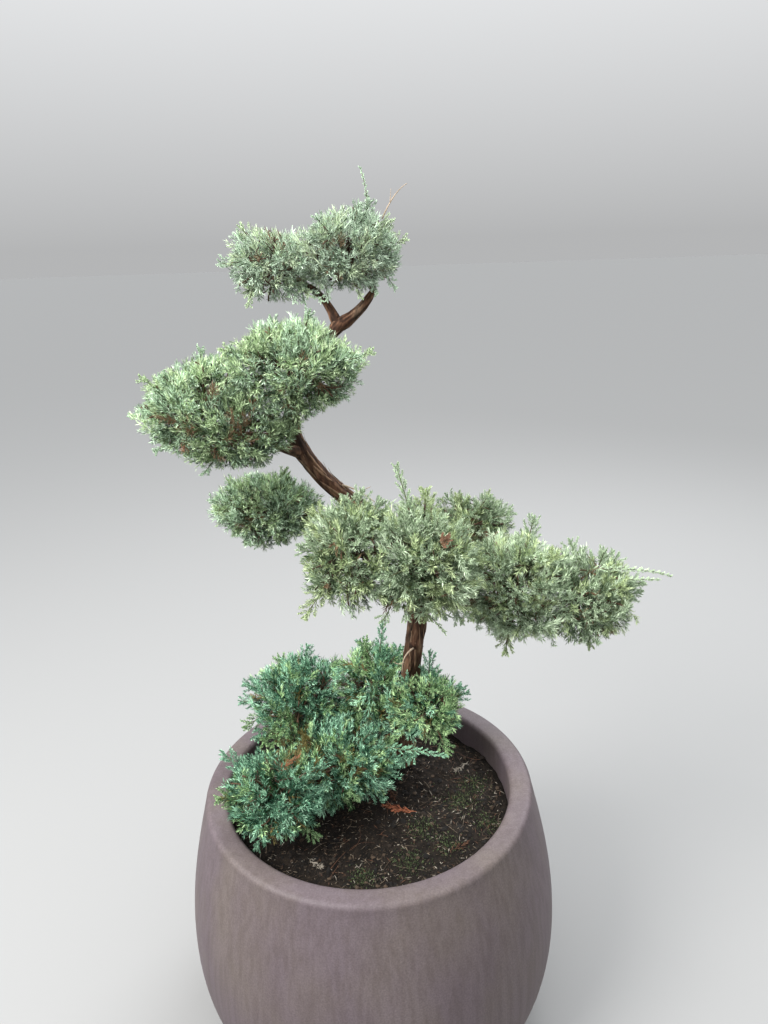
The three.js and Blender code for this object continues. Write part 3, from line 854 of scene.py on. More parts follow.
def joined_reach(mass, out):
    """Share of its reach to a mass's outline in each direction, once it flows into its neighbours."""
    low, high = np.full(len(out), JOINED_LEAST), np.full(len(out), JOINED_MOST)
    for _ in range(JOINED_HALVINGS):
        middle = (low + high) / 2
        points = mass.reach(out, middle)
        field = sum(np.exp(-JOIN * (other.depth(points) ** 2 - 1)) for other in masses)
        low = np.where(field > 1, middle, low)
        high = np.where(field > 1, high, middle)
    return low


# Each mass's bough or stem, and samples of the wood that keep leaves off it
wood_spots, wood_radii = [], []


def note_wood(curve, radius_at):
    shares = np.linspace(0, 1, max(4, int(curve.length / WOOD_STEP)))
    wood_spots.append(curve.at(shares))
    wood_radii.append(radius_at(shares * curve.length))


note_wood(trunk, lambda along: trunk_radius(along, 0.0))
boughs = []
for name, at, root, tip, bow in BOUGHS:
    mass = by_name[name]
    start = trunk.at(at)[0]
    bow = np.array(bow, float)
    middle = (start + mass.centre) / 2 + AIMS.get(name, bow)
    entry = mass.reach(mass.way_to(middle), CORE_SHARE)
    end = entry + unit(entry - mass.centre) * TIP_STANDOFF
    curve = bezier(start, (start + end) / 2 + bow, end)
    mass.stem_root = end
    boughs.append((curve, at, root, tip))
    note_wood(curve, lambda along: bough_radius(along, curve, root, tip))
for name, at in STEMS.items():
    by_name[name].stem_root = trunk.at(at)[0]
wood_spots = np.concatenate(wood_spots)
wood_radii = np.concatenate(wood_radii)


def off_wood(points, margin):
    """True for points that lie clear of trunk and boughs."""
    clear = np.ones(len(points), bool)
    low, high = points.min(axis=0) - WOOD_NEAR, points.max(axis=0) + WOOD_NEAR
    near = np.all((wood_spots > low) & (wood_spots < high), axis=1)
    for spot, radius in zip(wood_spots[near], wood_radii[near]):
        clear &= np.sum((points - spot) ** 2, axis=1) > (radius + margin) ** 2
    return clear


def belly(inwards, steps):
    """The planter's outline from its foot to its rim as radii and heights."""
    wide = POT["belly"] - inwards
    foot = POT["foot"] - inwards / 2
    rim = POT["rim"] - inwards
    power = 2 / POT["fullness"]
    turn = np.linspace(0, math.pi / 2, steps)
    lower_r = foot + (wide - foot) * np.sin(turn) ** power
    lower_z = inwards + (POT["belly_height"] - inwards) * (1 - np.clip(np.cos(turn), 0, 1) ** power)
    share = np.linspace(0, 1, steps)[1:]
    upper_r = rim + (wide - rim) * np.cos(math.pi / 2 * share)
    upper_z = POT["belly_height"] + (POT["height"] - POT["rounding"] - POT["belly_height"]) * share
    return np.concatenate([lower_r, upper_r]), np.concatenate([lower_z, upper_z])


def inner_belly(inwards, steps, floor):
    """The outline inside the planter from below its collar down to a floor."""
    radii, heights = belly(inwards, steps)
    below = heights < UNDER_COLLAR - POT["wall"]
    radii, heights = radii[below][::-1], heights[below][::-1]
    heights[-1] = floor
    return radii, heights


outline_radii, outline_heights = belly(0.0, 24)


def off_pot(points, margin):
    """True for points outside the planter's walls and above its soil."""
    ring = np.hypot(points[:, 0], points[:, 1])
    outside = ring > np.interp(points[:, 2], outline_heights, outline_radii) + margin
    inside = (ring < POT["opening"] - margin) & (points[:, 2] > SOIL_TOP + margin)
    return outside | inside | (points[:, 2] > POT["height"] + margin)


# Sprays: a curved axis, side branchlets and their scale-leaved fingers


def spray_template(rng, kind, shade):
    """Parts of one spray along +Z: roots, tips, radii, levels of light and orders of branching."""
    plan = GROWTH[kind]
    length = plan["length"]
    count, thick = (5, 1.8) if shade else (plan["branchlets"], plan["thick"])
    sway = rng.normal(0, 0.05, 2) * length

    def axis_at(t):
        return np.stack([sway[0] * t**2, sway[1] * t**2, length * t], -1)

    axis = axis_at(np.linspace(0, 1, 4))
    parts = [(axis[i], axis[i + 1], thick * (1.15 - 0.25 * i), 0.4 * i, 0) for i in range(3)]
    for i in range(count):
        t = 0.1 + 0.86 * ((i + rng.uniform(0.2, 0.8)) / count) ** 0.85
        spot = axis_at(t)
        turn = i * GOLDEN_ANGLE + rng.normal(0, 0.25)
        lean = math.radians(plan["spread"] * (1.1 - 0.45 * t) + rng.normal(0, 5))
        ring = np.array([math.cos(turn), 0.72 * math.sin(turn), 0.0])
        way = unit(ring * math.sin(lean) + UP * math.cos(lean))
        reach = plan["side"] * (1.15 - plan["slim"] * t) * rng.uniform(0.8, 1.2)
        glow = rng.normal(0, 0.35)
        parts.append((spot, spot + way * reach, thick * 1.1, 0.9 + t + glow, 1))
        fingers = 2 if shade else FINGERS - 2 * (t < 0.35)
        cross = unit(np.cross(way, rng.normal(0, 1, 3)))
        for j in range(fingers):
            u = 0.18 + 0.74 * (j + rng.uniform(0, 0.6)) / fingers
            flank = 1 if j % 2 else -1
            if j >= 2:
                cross = unit(np.cross(way, cross) + 0.4 * cross)
            heading = unit(way + flank * cross * rng.uniform(0.45, 0.75) + 0.15 * UP)
            size = plan["finger"] * (1.15 - 0.35 * u) * rng.uniform(0.75, 1.25)
            foot = spot + way * reach * u
            tip = foot + heading * size * (1.5 if shade else 1)
            parts.append((foot, tip, thick * 0.9, 1.3 + t + 0.6 * u + glow, 2))
    return (*(np.array(column, float) for column in zip(*parts)), length)


TEMPLATES = {}
for number, kind in enumerate(GROWTH):
    rng = np.random.default_rng(40 + number)
    for shade, count in ((False, TEMPLATE_COUNT), (True, SHADE_TEMPLATE_COUNT)):
        TEMPLATES[kind, shade] = [spray_template(rng, kind, shade) for _ in range(count)]


class Sprays:
    """Rows of sprays to be built: root, direction, then the values that add takes."""

    SHADE_COLUMN = 9

    def __init__(self):
        self.rows = []

    def add(self, roots, ways, lengths, light, tone, shade, lift, free=False):
        """free sprays may cross their mass's parting planes."""
        values = [np.broadcast_to(v, len(roots)) for v in (lengths, light, tone, shade, lift, free)]
        self.rows.append(np.column_stack([roots, ways, *values]).astype(float))

    def build(self, batch, mass, rng):
        """Builds the sprays of one mass into a batch."""
        table = np.concatenate(self.rows)
        variants = rng.integers(0, 1000, len(table))
        rolls = rng.uniform(0, TURN, len(table))
        for shade in (False, True):
            forms = TEMPLATES[mass.kind, shade]
            for number, form in enumerate(forms):
                chosen = (variants % len(forms) == number) & (table[:, self.SHADE_COLUMN] == shade)
                if np.any(chosen):
                    build_sprays(batch, mass, form, table[chosen], rolls[chosen], rng)


def build_sprays(batch, mass, form, rows, rolls, rng):
    """Builds the rows of sprays that share one form."""
    roots, tips, radii, levels, orders, length = form
    origin, way = rows[:, :3], rows[:, 3:6]
    size, light, tone, _, lift, free = rows[:, 6:].T
    side, face = across(way, rolls)
    scale = size / length
    turn = np.stack([side, face, way], axis=1) * scale[:, None, None]

    def place(points):
        bent = np.einsum("kc,ncx->nkx", points, turn)
        rise = (points[:, 2] / length) ** 2
        return origin[:, None] + bent + (lift * size)[:, None, None] * rise[None, :, None] * UP

    a, b = place(roots), place(tips)
    wide = radii[None] * np.clip(scale, 0.75, 1.25)[:, None]
    step = light[:, None] + 0.75 * levels[None] + rng.normal(0, 0.95, a.shape[:2])
    step = np.clip(np.round(step), 0, LADDER - 1)
    tone = tone[:, None]
    tint = np.where(tone < STRAW, LADDER * tone + step, 2 * LADDER + tone - STRAW).astype(int)
    order = np.broadcast_to(orders, tint.shape).ravel()
    a, b, wide, tint = a.reshape(-1, 3), b.reshape(-1, 3), wide.ravel(), tint.ravel()
    middle = (a + b) / 2
    keep = off_wood(middle, 0.5) & off_pot(middle, 1.0) & off_pot(b, 0.5)
    keep &= np.repeat(free > 0, len(roots)) | (mass.beyond(middle) < CROSSING["scale"])
    for level, blade in enumerate((SLIVER, KITE, KITE)):
        mask = keep & (order == level)
        rolled = rng.uniform(0, TURN, mask.sum())
        blades(batch, blade, a[mask], b[mask], wide[mask], rolled, tint[mask])


# Growth of one mass, from its stem to its sprays


def main_twigs(mass, rng, twigs):
    """Twigs to the source's sprays: same directions, same sway, same reach."""
    out = mass.outward(MAIN_TWIGS)
    i = np.arange(MAIN_TWIGS)
    sway = np.stack([chance(mass.seed, 3 * i + k) - 0.5 for k in range(3)], -1)
    reach = REACH_LEAST + REACH_SPREAD * chance(mass.seed + 7, i)
    shoot_ways = mass.way_to(mass.shoots)
    ways = np.concatenate([unit(out + SWAY * sway), shoot_ways])
    reaches = np.concatenate([reach, mass.depth(mass.shoots)])
    knees = np.concatenate([mass.reach(out, 0.5), mass.reach(shoot_ways, SHOOT_ROOT)])
    ends = mass.reach(ways, np.minimum(reaches * 0.84, 0.95))
    stem_way = mass.way_to(mass.stem_root)
    slide = np.clip(0.75 - 0.4 * (ways @ stem_way), 0.35, 1.0)
    enter = mass.reach(stem_way, 0.7)
    starts = enter + (mass.centre - enter) * slide[:, None]
    main = path_through(starts, knees, ends, MAIN_TWIG[2])
    inside = mass.beyond(ends) < CROSSING["main_twig"]
    tubes(twigs, main[inside], np.linspace(*MAIN_TWIG), 4, rng.integers(0, 2, inside.sum()))
    return main, ways


def side_twigs(mass, rng, twigs, main, main_ways):
    """Twigs that part from the main ones."""
    ways = unit(mass.outward(SIDE_TWIGS, 0.7) + rng.normal(0, 0.08, (SIDE_TWIGS, 3)))
    owner = np.argmax(ways @ main_ways.T, axis=1)
    begin = main[owner, rng.integers(2, 5, SIDE_TWIGS)]
    finish = mass.reach(ways, rng.uniform(0.66, 0.78, SIDE_TWIGS))
    knee = (begin + finish) / 2 + unit(main[owner, -1] - main[owner, 0]) * 9
    side = path_through(begin, knee, finish, SIDE_TWIG[2])
    inside = mass.beyond(finish) < CROSSING["side_twig"]
    tubes(twigs, side[inside], np.linspace(*SIDE_TWIG), 3, rng.integers(0, 2, inside.sum()))
    return side, ways


def tufts(mass, rng, sprays, main_ways, side_ways):
    """Sprays that crowd round the twigs' ends, so the outline breaks into tufts.

    Gives their roots, which the stalks tie to the twigs.
    """
    plan = mass.plan
    count = int(plan["density"] * mass.area())
    out = unit(mass.outward(count, 0.3) + rng.normal(0, 0.6 / math.sqrt(count), (count, 3)))
    on_main, on_side = (np.argmax(out @ ways.T, axis=1) for ways in (main_ways, side_ways))
    main_way, side_way = main_ways[on_main], side_ways[on_side]
    angles = (np.arccos(np.clip(np.sum(out * way, axis=1), -1, 1)) for way in (main_way, side_way))
    big, small = (bell(angle, width) for angle, width in zip(angles, TUFT_WIDTHS))

    outline = joined_reach(mass, out)
    joined = outline
    bay, bay_dead = np.zeros(count), np.zeros(count)
    for middle, width, share, dead_share in mass.bays:
        hollow = bell(np.linalg.norm(mass.reach(out, joined) - middle, axis=1), width)
        joined = joined - share * hollow
        bay = np.maximum(bay, hollow)
        bay_dead = np.maximum(bay_dead, dead_share * hollow)
    stray = np.where(rng.random(count) < STRAY_SHARE, rng.uniform(0.03, 0.11, count), 0.0)
    swell = 0.1 * (noise(out * 2.3 + mass.seed, mass.seed) - 0.5)
    loose = rng.uniform(-0.03, 0.03, count)
    tips = mass.reach(out, joined * (0.78 + 0.11 * big + 0.08 * small + stray + swell + loose))

    apart = 0.9 * (out - side_way) + 0.6 * (out - main_way)
    lift = plan["lift"] * np.clip(0.7 + 0.6 * out[:, 2], 0.1, 1.2)
    lean = rng.normal(0, 0.3, side_ways.shape)[on_side]
    lean = lean + rng.normal(0, 0.22, main_ways.shape)[on_main]
    way = unit(out / mass.radii) + apart + lean + rng.normal(0, 0.2, (count, 3))
    way = unit(way + lift[:, None] * UP)
    length = plan["length"] * rng.uniform(0.75, 1.2, count)
    rise = rng.uniform(-0.05, 0.22, count)
    roots = tips - way * length[:, None] - (rise * length)[:, None] * UP

    # The level of light paints light and shade: each mass's painted light step, lighter sprays at the tufts
    # and darker ones in the hollows between them, and lighter ones towards the mass's top.
    painted_light_steps, warm_share = PAINTED_LIGHT_AND_WARMTH[mass.name]
    painted_top_light, unevenness = (0.25, 0.5) if mass.low else (0.45, 0.3)
    light = painted_light_steps - 0.45 + 0.6 * big + 0.6 * small + painted_top_light * out[:, 2]
    light = light + rng.normal(0, unevenness, count)
    warm = rng.random(count) < warm_share
    dead = rng.random(count)
    dry = (dead < DRY_SHARE * (big + small < 0.5)) & (out[:, 2] < 0.6)
    rust = np.linalg.norm(tips - RUST_SPOTS.get(mass.name, (0, 0, 0)), axis=1) < RUST_WIDTH
    cases = [rust | (dead > 1 - RUSTY_SHARE), dead < bay_dead, dead < 0.95 * bay, dry, warm]
    tone = np.select(cases, [RUST, STRAW, WARM, STRAW, WARM], COOL)

    kept = (mass.beyond(tips) < CROSSING["tip"]) & (mass.beyond(roots) < CROSSING["root"])
    kept &= (out[:, 2] > -0.75) | (rng.random(count) < 0.7)
    notch = np.clip((outline - 1.02) / 0.08, 0, 1)
    crowd = np.maximum(0.55 + 0.6 * np.maximum(big, small), notch) * (1 - 0.3 * bay)
    kept &= rng.random(count) < crowd
    kept &= off_wood(tips, 3) & off_pot(tips, 2) & (mass.depth(roots) < mass.depth(tips) - 0.04)
    kept &= off_pot(roots + way * 6, 2)
    sprays.add(roots[kept], way[kept], length[kept], light[kept], tone[kept], False, rise[kept])
    return roots[kept]


def plume_spines(mass, rng):
    """Spines of a mass's plumes, the source's furthest shoots first, then its sprigs."""
    extra = mass.outward(mass.plan["plumes"] * 2, 2.1)
    extra = extra[extra[:, 2] > -0.45][: mass.plan["plumes"]]
    extra_tops = mass.reach(extra, joined_reach(mass, extra) * rng.uniform(0.98, 1.07, len(extra)))
    ways = np.concatenate([mass.way_to(mass.shoots), extra])
    spines = []
    for number, (way, top) in enumerate(zip(ways, np.concatenate([mass.shoots, extra_tops]))):
        foot = mass.reach(way[None], SHOOT_ROOT)[0]
        spine = bezier(foot, (foot + top) / 2 + rng.uniform(-6, 4) * UP, top)
        bare = mass.name in WHIPS and mass.depth(top) > WHIP_DEPTH
        bare |= any(np.linalg.norm(top - middle) < 1.3 * width for middle, width, _, _ in mass.bays)
        if not bare and np.all(mass.beyond(spine.at(np.linspace(0, 1, 9))) < CROSSING["plume"]):
            full = SPIRES.get(mass.name, 1.0) if number == 0 else 1.0
            spines.append((spine, full, WARM if len(spines) % 4 == 1 else COOL, False))
    for foot, knee, top, full, tone in SPRIGS.get(mass.name, ()):
        spines.append((bezier(foot, knee, top), full, tone, True))
    return spines


def plumes(mass, rng, sprays, twigs):
    """Longer plumes that break the outline."""
    length = mass.plan["length"]
    for number, (spine, full, tone, free) in enumerate(plume_spines(mass, rng)):
        slender = 0.6 + 0.4 * full
        path = spine.at(np.linspace(0, 0.94, PLUME_TWIG[2]))
        tubes(twigs, path[None], np.linspace(*PLUME_TWIG) * slender, 4, 2)
        steps = int(spine.length / (PLUME_STEP * (0.5 + 0.5 * full)))
        shares = (np.arange(steps) + 0.8) / (steps + 0.8)
        spots, tangents, normals, binormals = spine.frames(shares)
        turn = np.arange(steps) * GOLDEN_ANGLE + number
        ring = np.cos(turn)[:, None] * normals + np.sin(turn)[:, None] * binormals
        lean = PLUME_LEAN[0] + (PLUME_LEAN[1] - PLUME_LEAN[0]) * shares
        lean = np.radians(lean * slender)[:, None]
        ways = unit(ring * np.sin(lean) + tangents * np.cos(lean))
        sizes = length * (0.56 - 0.24 * shares) * full
        sizes = np.minimum(sizes, (1 - shares) * spine.length + 4)
        light = (0.0 if mass.low else 0.4) + 0.6 * shares + 2.4 * (1 - full)
        sprays.add(spots, ways, sizes, light, tone, False, 0.08, free)
        last = length * 0.42 * full
        spot, tangent, _, _ = spine.frames(np.array([1 - last / spine.length]))
        sprays.add(spot, tangent, [last], 1.1, tone, False, 0.0, free)


def inner_sprays(mass, rng, sprays):
    """Darker sprays that fill the inside in shells, each with half as many as the one before. Their darkness
    is painted shade.
    """
    plan = mass.plan
    count = int(plan["shade"] * mass.area())
    for share, turned in SHELLS:
        out = unit(mass.outward(count, turned) + rng.normal(0, 0.1, (count, 3)))
        spots = mass.reach(out, joined_reach(mass, out) * (share + rng.uniform(-0.05, 0.05, count)))
        way = unit(out + rng.normal(0, 0.45, (count, 3)) + 0.2 * UP)
        length = plan["length"] * rng.uniform(0.7, 0.95, count)
        roots = spots - way * length[:, None]
        kept = (mass.beyond(spots) < CROSSING["inner"]) & off_wood(spots, 4) & off_pot(spots, 4)
        kept &= mass.depth(roots) < mass.depth(spots) - 0.1
        straw, warm = rng.random(count) < INNER_STRAW_SHARE, rng.random(count) < INNER_WARM_SHARE
        tone = np.select([straw, warm], [STRAW, WARM], COOL)
        for middle, width, _, _ in mass.bays:
            hollow = bell(np.linalg.norm(spots - middle, axis=1), 1.5 * width)
            changed = rng.random(count) < 1.2 * hollow
            tone = np.where(changed, np.where(rng.random(count) < 0.4, STRAW, WARM), tone)
        sprays.add(roots[kept], way[kept], length[kept], plan["inside"], tone[kept], True, 0.0)
        count = count // 2


def stalks(mass, rng, twigs, joints, ends):
    """A stalk ties each spray of the tufts to the nearest twig that lies deeper."""
    shallow = mass.depth(joints)[None] > mass.depth(ends)[:, None] - 0.02
    far = np.linalg.norm(ends[:, None] - joints[None], axis=2) + 60 * shallow
    begin = joints[np.argmin(far, axis=1)]
    bend = (begin + ends) / 2 + rng.normal(0, 2.0, ends.shape) - 1.5 * UP
    fit = off_pot(bend, 1) & off_pot(ends, 1) & off_wood(bend, 0.5)
    begin, bend, ends = begin[fit], bend[fit], ends[fit]
    overlap = unit(ends - bend) * 3
    tints = rng.integers(0, 3, len(ends))
    blades(twigs, SLIVER, begin, bend + unit(bend - begin) * 3, 1.0, 0.0, tints)
    blades(twigs, SLIVER, bend - overlap, ends + overlap, 0.85, 0.0, tints)


def grow(mass, leaves, twigs):
    """Grows one mass from its stem."""
    rng = np.random.default_rng(1000 + mass.seed)
    sprays = Sprays()
    main, main_ways = main_twigs(mass, rng, twigs)
    side, side_ways = side_twigs(mass, rng, twigs, main, main_ways)
    roots = tufts(mass, rng, sprays, main_ways, side_ways)
    plumes(mass, rng, sprays, twigs)
    inner_sprays(mass, rng, sprays)
    sprays.build(leaves, mass, rng)
    joints = np.concatenate([main[:, 2:].reshape(-1, 3), side[:, 1:].reshape(-1, 3)])
    stalks(mass, rng, twigs, joints, roots)


# Camera at the photograph's place and angle, in metres and degrees
PHOTO_HEIGHT, FOCAL_PIXELS, SENSOR = 1024.0, 769.0, 36.0
CAMERA_PLACE = (0.039, -1.058, 1.29)
CAMERA_TILT, CAMERA_ROLL = 19.5, -1.88
lens = bpy.data.cameras.new("camera")
lens.sensor_width = SENSOR
lens.lens = FOCAL_PIXELS * SENSOR / PHOTO_HEIGHT
camera = placed("camera", lens)
tilt = Matrix.Rotation(math.radians(90 - CAMERA_TILT), 4, "X")
roll = Matrix.Rotation(math.radians(CAMERA_ROLL), 4, "Z")
camera.matrix_world = Matrix.Translation(CAMERA_PLACE) @ tilt @ roll
bpy.context.scene.camera = camera
bpy.context.scene.view_settings.view_transform = "Standard"

# Studio: pale floor, pale sky, soft lamps
FLOOR_REACH = 40.0
SKY_STRENGTH = 2.3
corners = [(x * FLOOR_REACH, y * FLOOR_REACH, 0) for x, y in ((-1, -1), (1, -1), (1, 1), (-1, 1))]
ground = bpy.data.meshes.new("floor")
ground.from_pydata(corners, [], [(0, 1, 2, 3)])
ground.materials.append(Look("studio_floor", 0.9, 0.2).coloured((0.26, 0.26, 0.258, 1)))
floor = placed("floor", ground)

world = bpy.data.worlds.new("studio")
air = Nodes(world)
heading = air.add("ShaderNodeTexCoord").outputs["Generated"]
height = air.add("ShaderNodeSeparateXYZ", Vector=heading).outputs["Z"]
haze = [(0.0, (0.2, 0.202, 0.204, 1)), (0.3, (0.36, 0.365, 0.37, 1)), (0.9, (0.96, 0.98, 1.0, 1))]
sky = air.tree.nodes["Background"].inputs
air.put(sky["Color"], air.ramp(height, *haze))
air.put(sky["Strength"], SKY_STRENGTH)
bpy.context.scene.world = world


def lamp(name, place, target, size, energy, colour):
    """A round lamp at a place, turned to a target."""
    data = bpy.data.lights.new(name, "AREA")
    data.shape = "DISK"
    data.size = size
    data.energy = energy
    data.color = colour
    made = placed(name, data)
    made.location = place
    made.rotation_euler = (Vector(target) - Vector(place)).to_track_quat("-Z", "Y").to_euler()


lamp("key_light", (-1.8, -1.3, 2.8), (0, 0, 0.8), 1.6, 160, (1.0, 0.985, 0.96))
lamp("back_light", (1.2, 2.0, 2.8), (0, 0, 0.9), 2.0, 75, (0.96, 0.98, 1.0))


def build_planter():
    """The planter, as a turned profile that runs up outside, over its rim and down inside."""
    edge = np.linspace(0, math.pi / 2, 7)[1:]
    q = POT["rounding"]
    outer, inner, crest = POT["rim"] - q, POT["opening"] + q, POT["height"] - q
    stretches = [
        ([AXIS, 60, 130], 0.0),
        belly(0.0, 22),
        (outer + q * np.cos(edge), crest + q * np.sin(edge)),
        (np.linspace(outer, inner, 5)[1:-1], POT["height"]),
        (inner - q * np.sin(edge), crest + q * np.cos(edge)),
        (POT["opening"], [SOIL_TOP - 5, UNDER_COLLAR]),
        inner_belly(POT["wall"], 14, POT["floor"]),
        ([120, AXIS], POT["floor"]),
    ]
    profile = np.concatenate([np.stack(np.broadcast_arrays(*stretch), -1) for stretch in stretches])
    batch = Batch()
    batch.add(revolved(*profile.T, POT_SIDES), band_faces(len(profile), POT_SIDES), 0)
    batch.piece("planter", [pot_material()], "pot", True, ["pot"])


def peel(batch, rng):
    """Strips of bark whose two ends peel off the trunk."""
    count, rows = PEELING_STRIPS, 7
    start = rng.uniform(50, trunk.length - 70, count)
    span = rng.uniform(24, 62, count)
    u = np.linspace(0, 1, rows)[None]
    along = start[:, None] + span[:, None] * u
    angle = rng.uniform(0, TURN, count)[:, None] + along / BARK_TWIST + rng.normal(0, 0.15, (count, 1)) * u
    samples = 600
    _, _, normals, binormals = trunk.frames(np.linspace(0, 1, samples + 1))
    pick = np.clip(np.round(along / trunk.length * samples).astype(int), 0, samples)
    outward = np.cos(angle)[..., None] * normals[pick] - np.sin(angle)[..., None] * binormals[pick]
    lifted = 0.3 + rng.uniform(0.2, 3.2, (count, 1)) * np.abs(2 * u - 0.8) ** 3
    radius = trunk_radius(along, angle)
    height, _ = bark_relief(angle, along, radius, TRUNK_BARK_SEED)
    level = radius + height + lifted
    paths = trunk.at((along / trunk.length).ravel()).reshape(count, rows, 3) + outward * level[..., None]
    width = rng.uniform(1.0, 2.1, (count, 1)) * np.sqrt(np.clip(1 - np.abs(2 * u - 1) ** 2.5, 0.05, 1))
    tubes(batch, paths, width, 4, 0, 0.28, outward)


def build_trunk(bark):
    """The trunk's bark, with a collar at each bough, knots and peeling strips."""
    bumps = []
    for curve, at, root, tip in boughs:
        _, turn = nearest_on_trunk(curve.at(0.25)[0])
        bumps.append((at * trunk.length + 4, turn, root * 1.5, root * 0.35))
    place, turn = nearest_on_trunk(KNOT_PLACE)
    bumps += [(place + further, turn + turned, width, rise) for further, turned, width, rise in KNOTS]
    batch = Batch()
    start, end = TRUNK_BARK_START, trunk.length
    limb_surface(batch, trunk, start, end, TRUNK_MESH, trunk_radius, TRUNK_BARK_SEED, bumps)
    peel(batch, np.random.default_rng(7))
    batch.piece("trunk_bark", [bark], "bark", True, ["trunk"], "relief")


def build_boughs(bark):
    """The boughs' bark, and the stems that carry them on into their masses."""
    batch = Batch()
    for number, (curve, _, root, tip) in enumerate(boughs):

        def radius_at(along, angle):
            collar = COLLAR_SHARE * root * np.exp(-np.maximum(along - COLLAR_LENGTH, 0) / COLLAR_FALL)
            narrowed = np.clip(1 - (curve.length - along) / NARROWING, 0, 1) ** 2
            narrow = (tip - 0.95 * STEM_RADIUS) * narrowed
            return bough_radius(along, curve, root, tip) + collar - narrow

        start, end = BOUGH_BARK_START, curve.length
        limb_surface(batch, curve, start, end, BOUGH_MESH, radius_at, 20 + number, round_tip=False)
    for number, mass in enumerate(masses):
        start, end = mass.stem_root, mass.centre
        stem = bezier(start + unit(start - end) * 3, (start + end) / 2 - 3 * UP, end)

        def radius_at(along, angle):
            return STEM_RADIUS * (1 - 0.35 * along / stem.length)

        limb_surface(batch, stem, 0.0, stem.length, STEM_MESH, radius_at, 40 + number)
    batch.piece("bough_bark", [bark], "bark", True, ["bough_" + row[0] for row in BOUGHS], "relief")


build_planter()
bark = bark_material()
build_trunk(bark)
build_boughs(bark)


# Foliage


def palette(kind):
    """Two ladders of greens from dark to light, then straw and rust. The steps of a ladder are partly lit and
    shaded copies of one green, for painted light and shade.
    """
    steps = np.linspace(0, 1, LADDER)[:, None]
    ends = np.array(TINTS[kind], float)
    cool = ends[0] + (ends[1] - ends[0]) * steps
    warm = ends[2] + (ends[3] - ends[2]) * steps
    names = [f"{tone}{step}" for tone in ("cool", "warm") for step in range(LADDER)] + ["straw", "rust"]
    return [tinted(f"{kind}_{name}", tint) for name, tint in zip(names, [*cool, *warm, *ends[4:]])]


palettes = {kind: palette(kind) for kind in TINTS}
twigs = Batch()
for mass in masses:
    leaves = Batch()
    grow(mass, leaves, twigs)
    slot = "low_foliage" if mass.low else "high_foliage"
    leaves.piece("leaves_" + mass.name, palettes[mass.kind], slot, False, [mass.name])
twig_materials = [
    tinted("twig_brown", (72, 57, 45), 0.8, 0.25),
    tinted("twig_red", (90, 68, 52), 0.8, 0.25),
    tinted("twig_green", (90, 92, 66), 0.75, 0.2),
]
twigs.piece("twigs", twig_materials, "bark", True)


# Soil


def soil_height(x, y):
    flat = np.stack([x, y, x * 0], -1)
    layers = enumerate(SOIL_RELIEF, 3)
    rise = sum(height * (noise(flat / width, seed) - 0.5) for seed, (height, width) in layers)
    mound = MOUND_HEIGHT * bell(np.hypot(x - MOUND_X, y - MOUND_Y), MOUND_WIDTH)
    fall = np.clip((np.hypot(x, y) - FALL_START) / FALL_WIDTH, 0, 1)
    return SOIL_TOP - SETTLED + rise + mound - FALL_HEIGHT * fall


def build_soil():
    edge = POT["opening"] - WALL_GAP
    floor = POT["floor"] + FLOOR_GAP
    rings = np.concatenate([[AXIS], np.linspace(2.5, edge, 92)])
    top = revolved(rings, rings * 0, SOIL_SIDES)
    top[..., 2] = soil_height(top[..., 0], top[..., 1])
    radii, heights = inner_belly(POT["wall"] + WALL_GAP, 10, floor)
    skirt = revolved([edge, edge, *radii, AXIS], [SOIL_TOP - 22, UNDER_COLLAR, *heights, floor], SOIL_SIDES)
    batch = Batch()
    batch.add(np.concatenate([top, skirt]), band_faces(len(top) + len(skirt), SOIL_SIDES), 0)
    batch.piece("compost", [soil_material()], "soil", True, ["soil"])


build_soil()

# Litter on the soil. Its tints: name, sRGB colour, roughness and spread
LITTER = [
    ("crumb_black", (14, 11, 9), 0.95, 0.3),
    ("crumb_brown", (34, 27, 21), 0.95, 0.3),
    ("chip_brown", (62, 50, 39), 0.9, 0.3),
    ("chip_tan", (102, 90, 76), 0.9, 0.25),
    ("fleck_pale", (146, 138, 126), 0.9, 0.2),
    ("spray_rust", (172, 106, 76), 0.8, 0.2),
    ("moss_dark", (46, 56, 34), 0.9, 0.25),
    ("moss_light", (78, 90, 58), 0.9, 0.25),
    ("spray_brown", (84, 56, 40), 0.85, 0.2),
]
BLACK, BROWN, CHIP, TAN, PALE, RUSTY, MOSS, LIGHT_MOSS, DRY = range(len(LITTER))
CRUMBS, CHIPS, FIBRES, STRAWS = 1900, 1700, 150, 1050
# Patches of moss: middle and spread
MOSS_PATCHES = [
    (152, -10, 34), (86, -72, 26), (178, 30, 26), (120, -110, 22),
    (60, -140, 26), (190, -60, 24), (-10, -170, 22),
]
# Fallen sprays: start, end and tint
FALLEN = [
    ((78, -36), (28, -22), RUSTY),
    ((70, -30), (38, -32), RUSTY),
    ((25, 36), (38, -5), DRY),
    ((-158, -86), (-112, -63), DRY),
    ((-96, -128), (-70, -150), PALE),
    ((120, -130), (150, -112), DRY),
    ((176, 88), (150, 60), PALE),
]


def on_soil(rng, count):
    ring = LITTER_EDGE * np.sqrt(rng.random(count))
    turn = rng.uniform(0, TURN, count)
    x, y = ring * np.cos(turn), ring * np.sin(turn)
    return np.stack([x, y, soil_height(x, y)], -1)


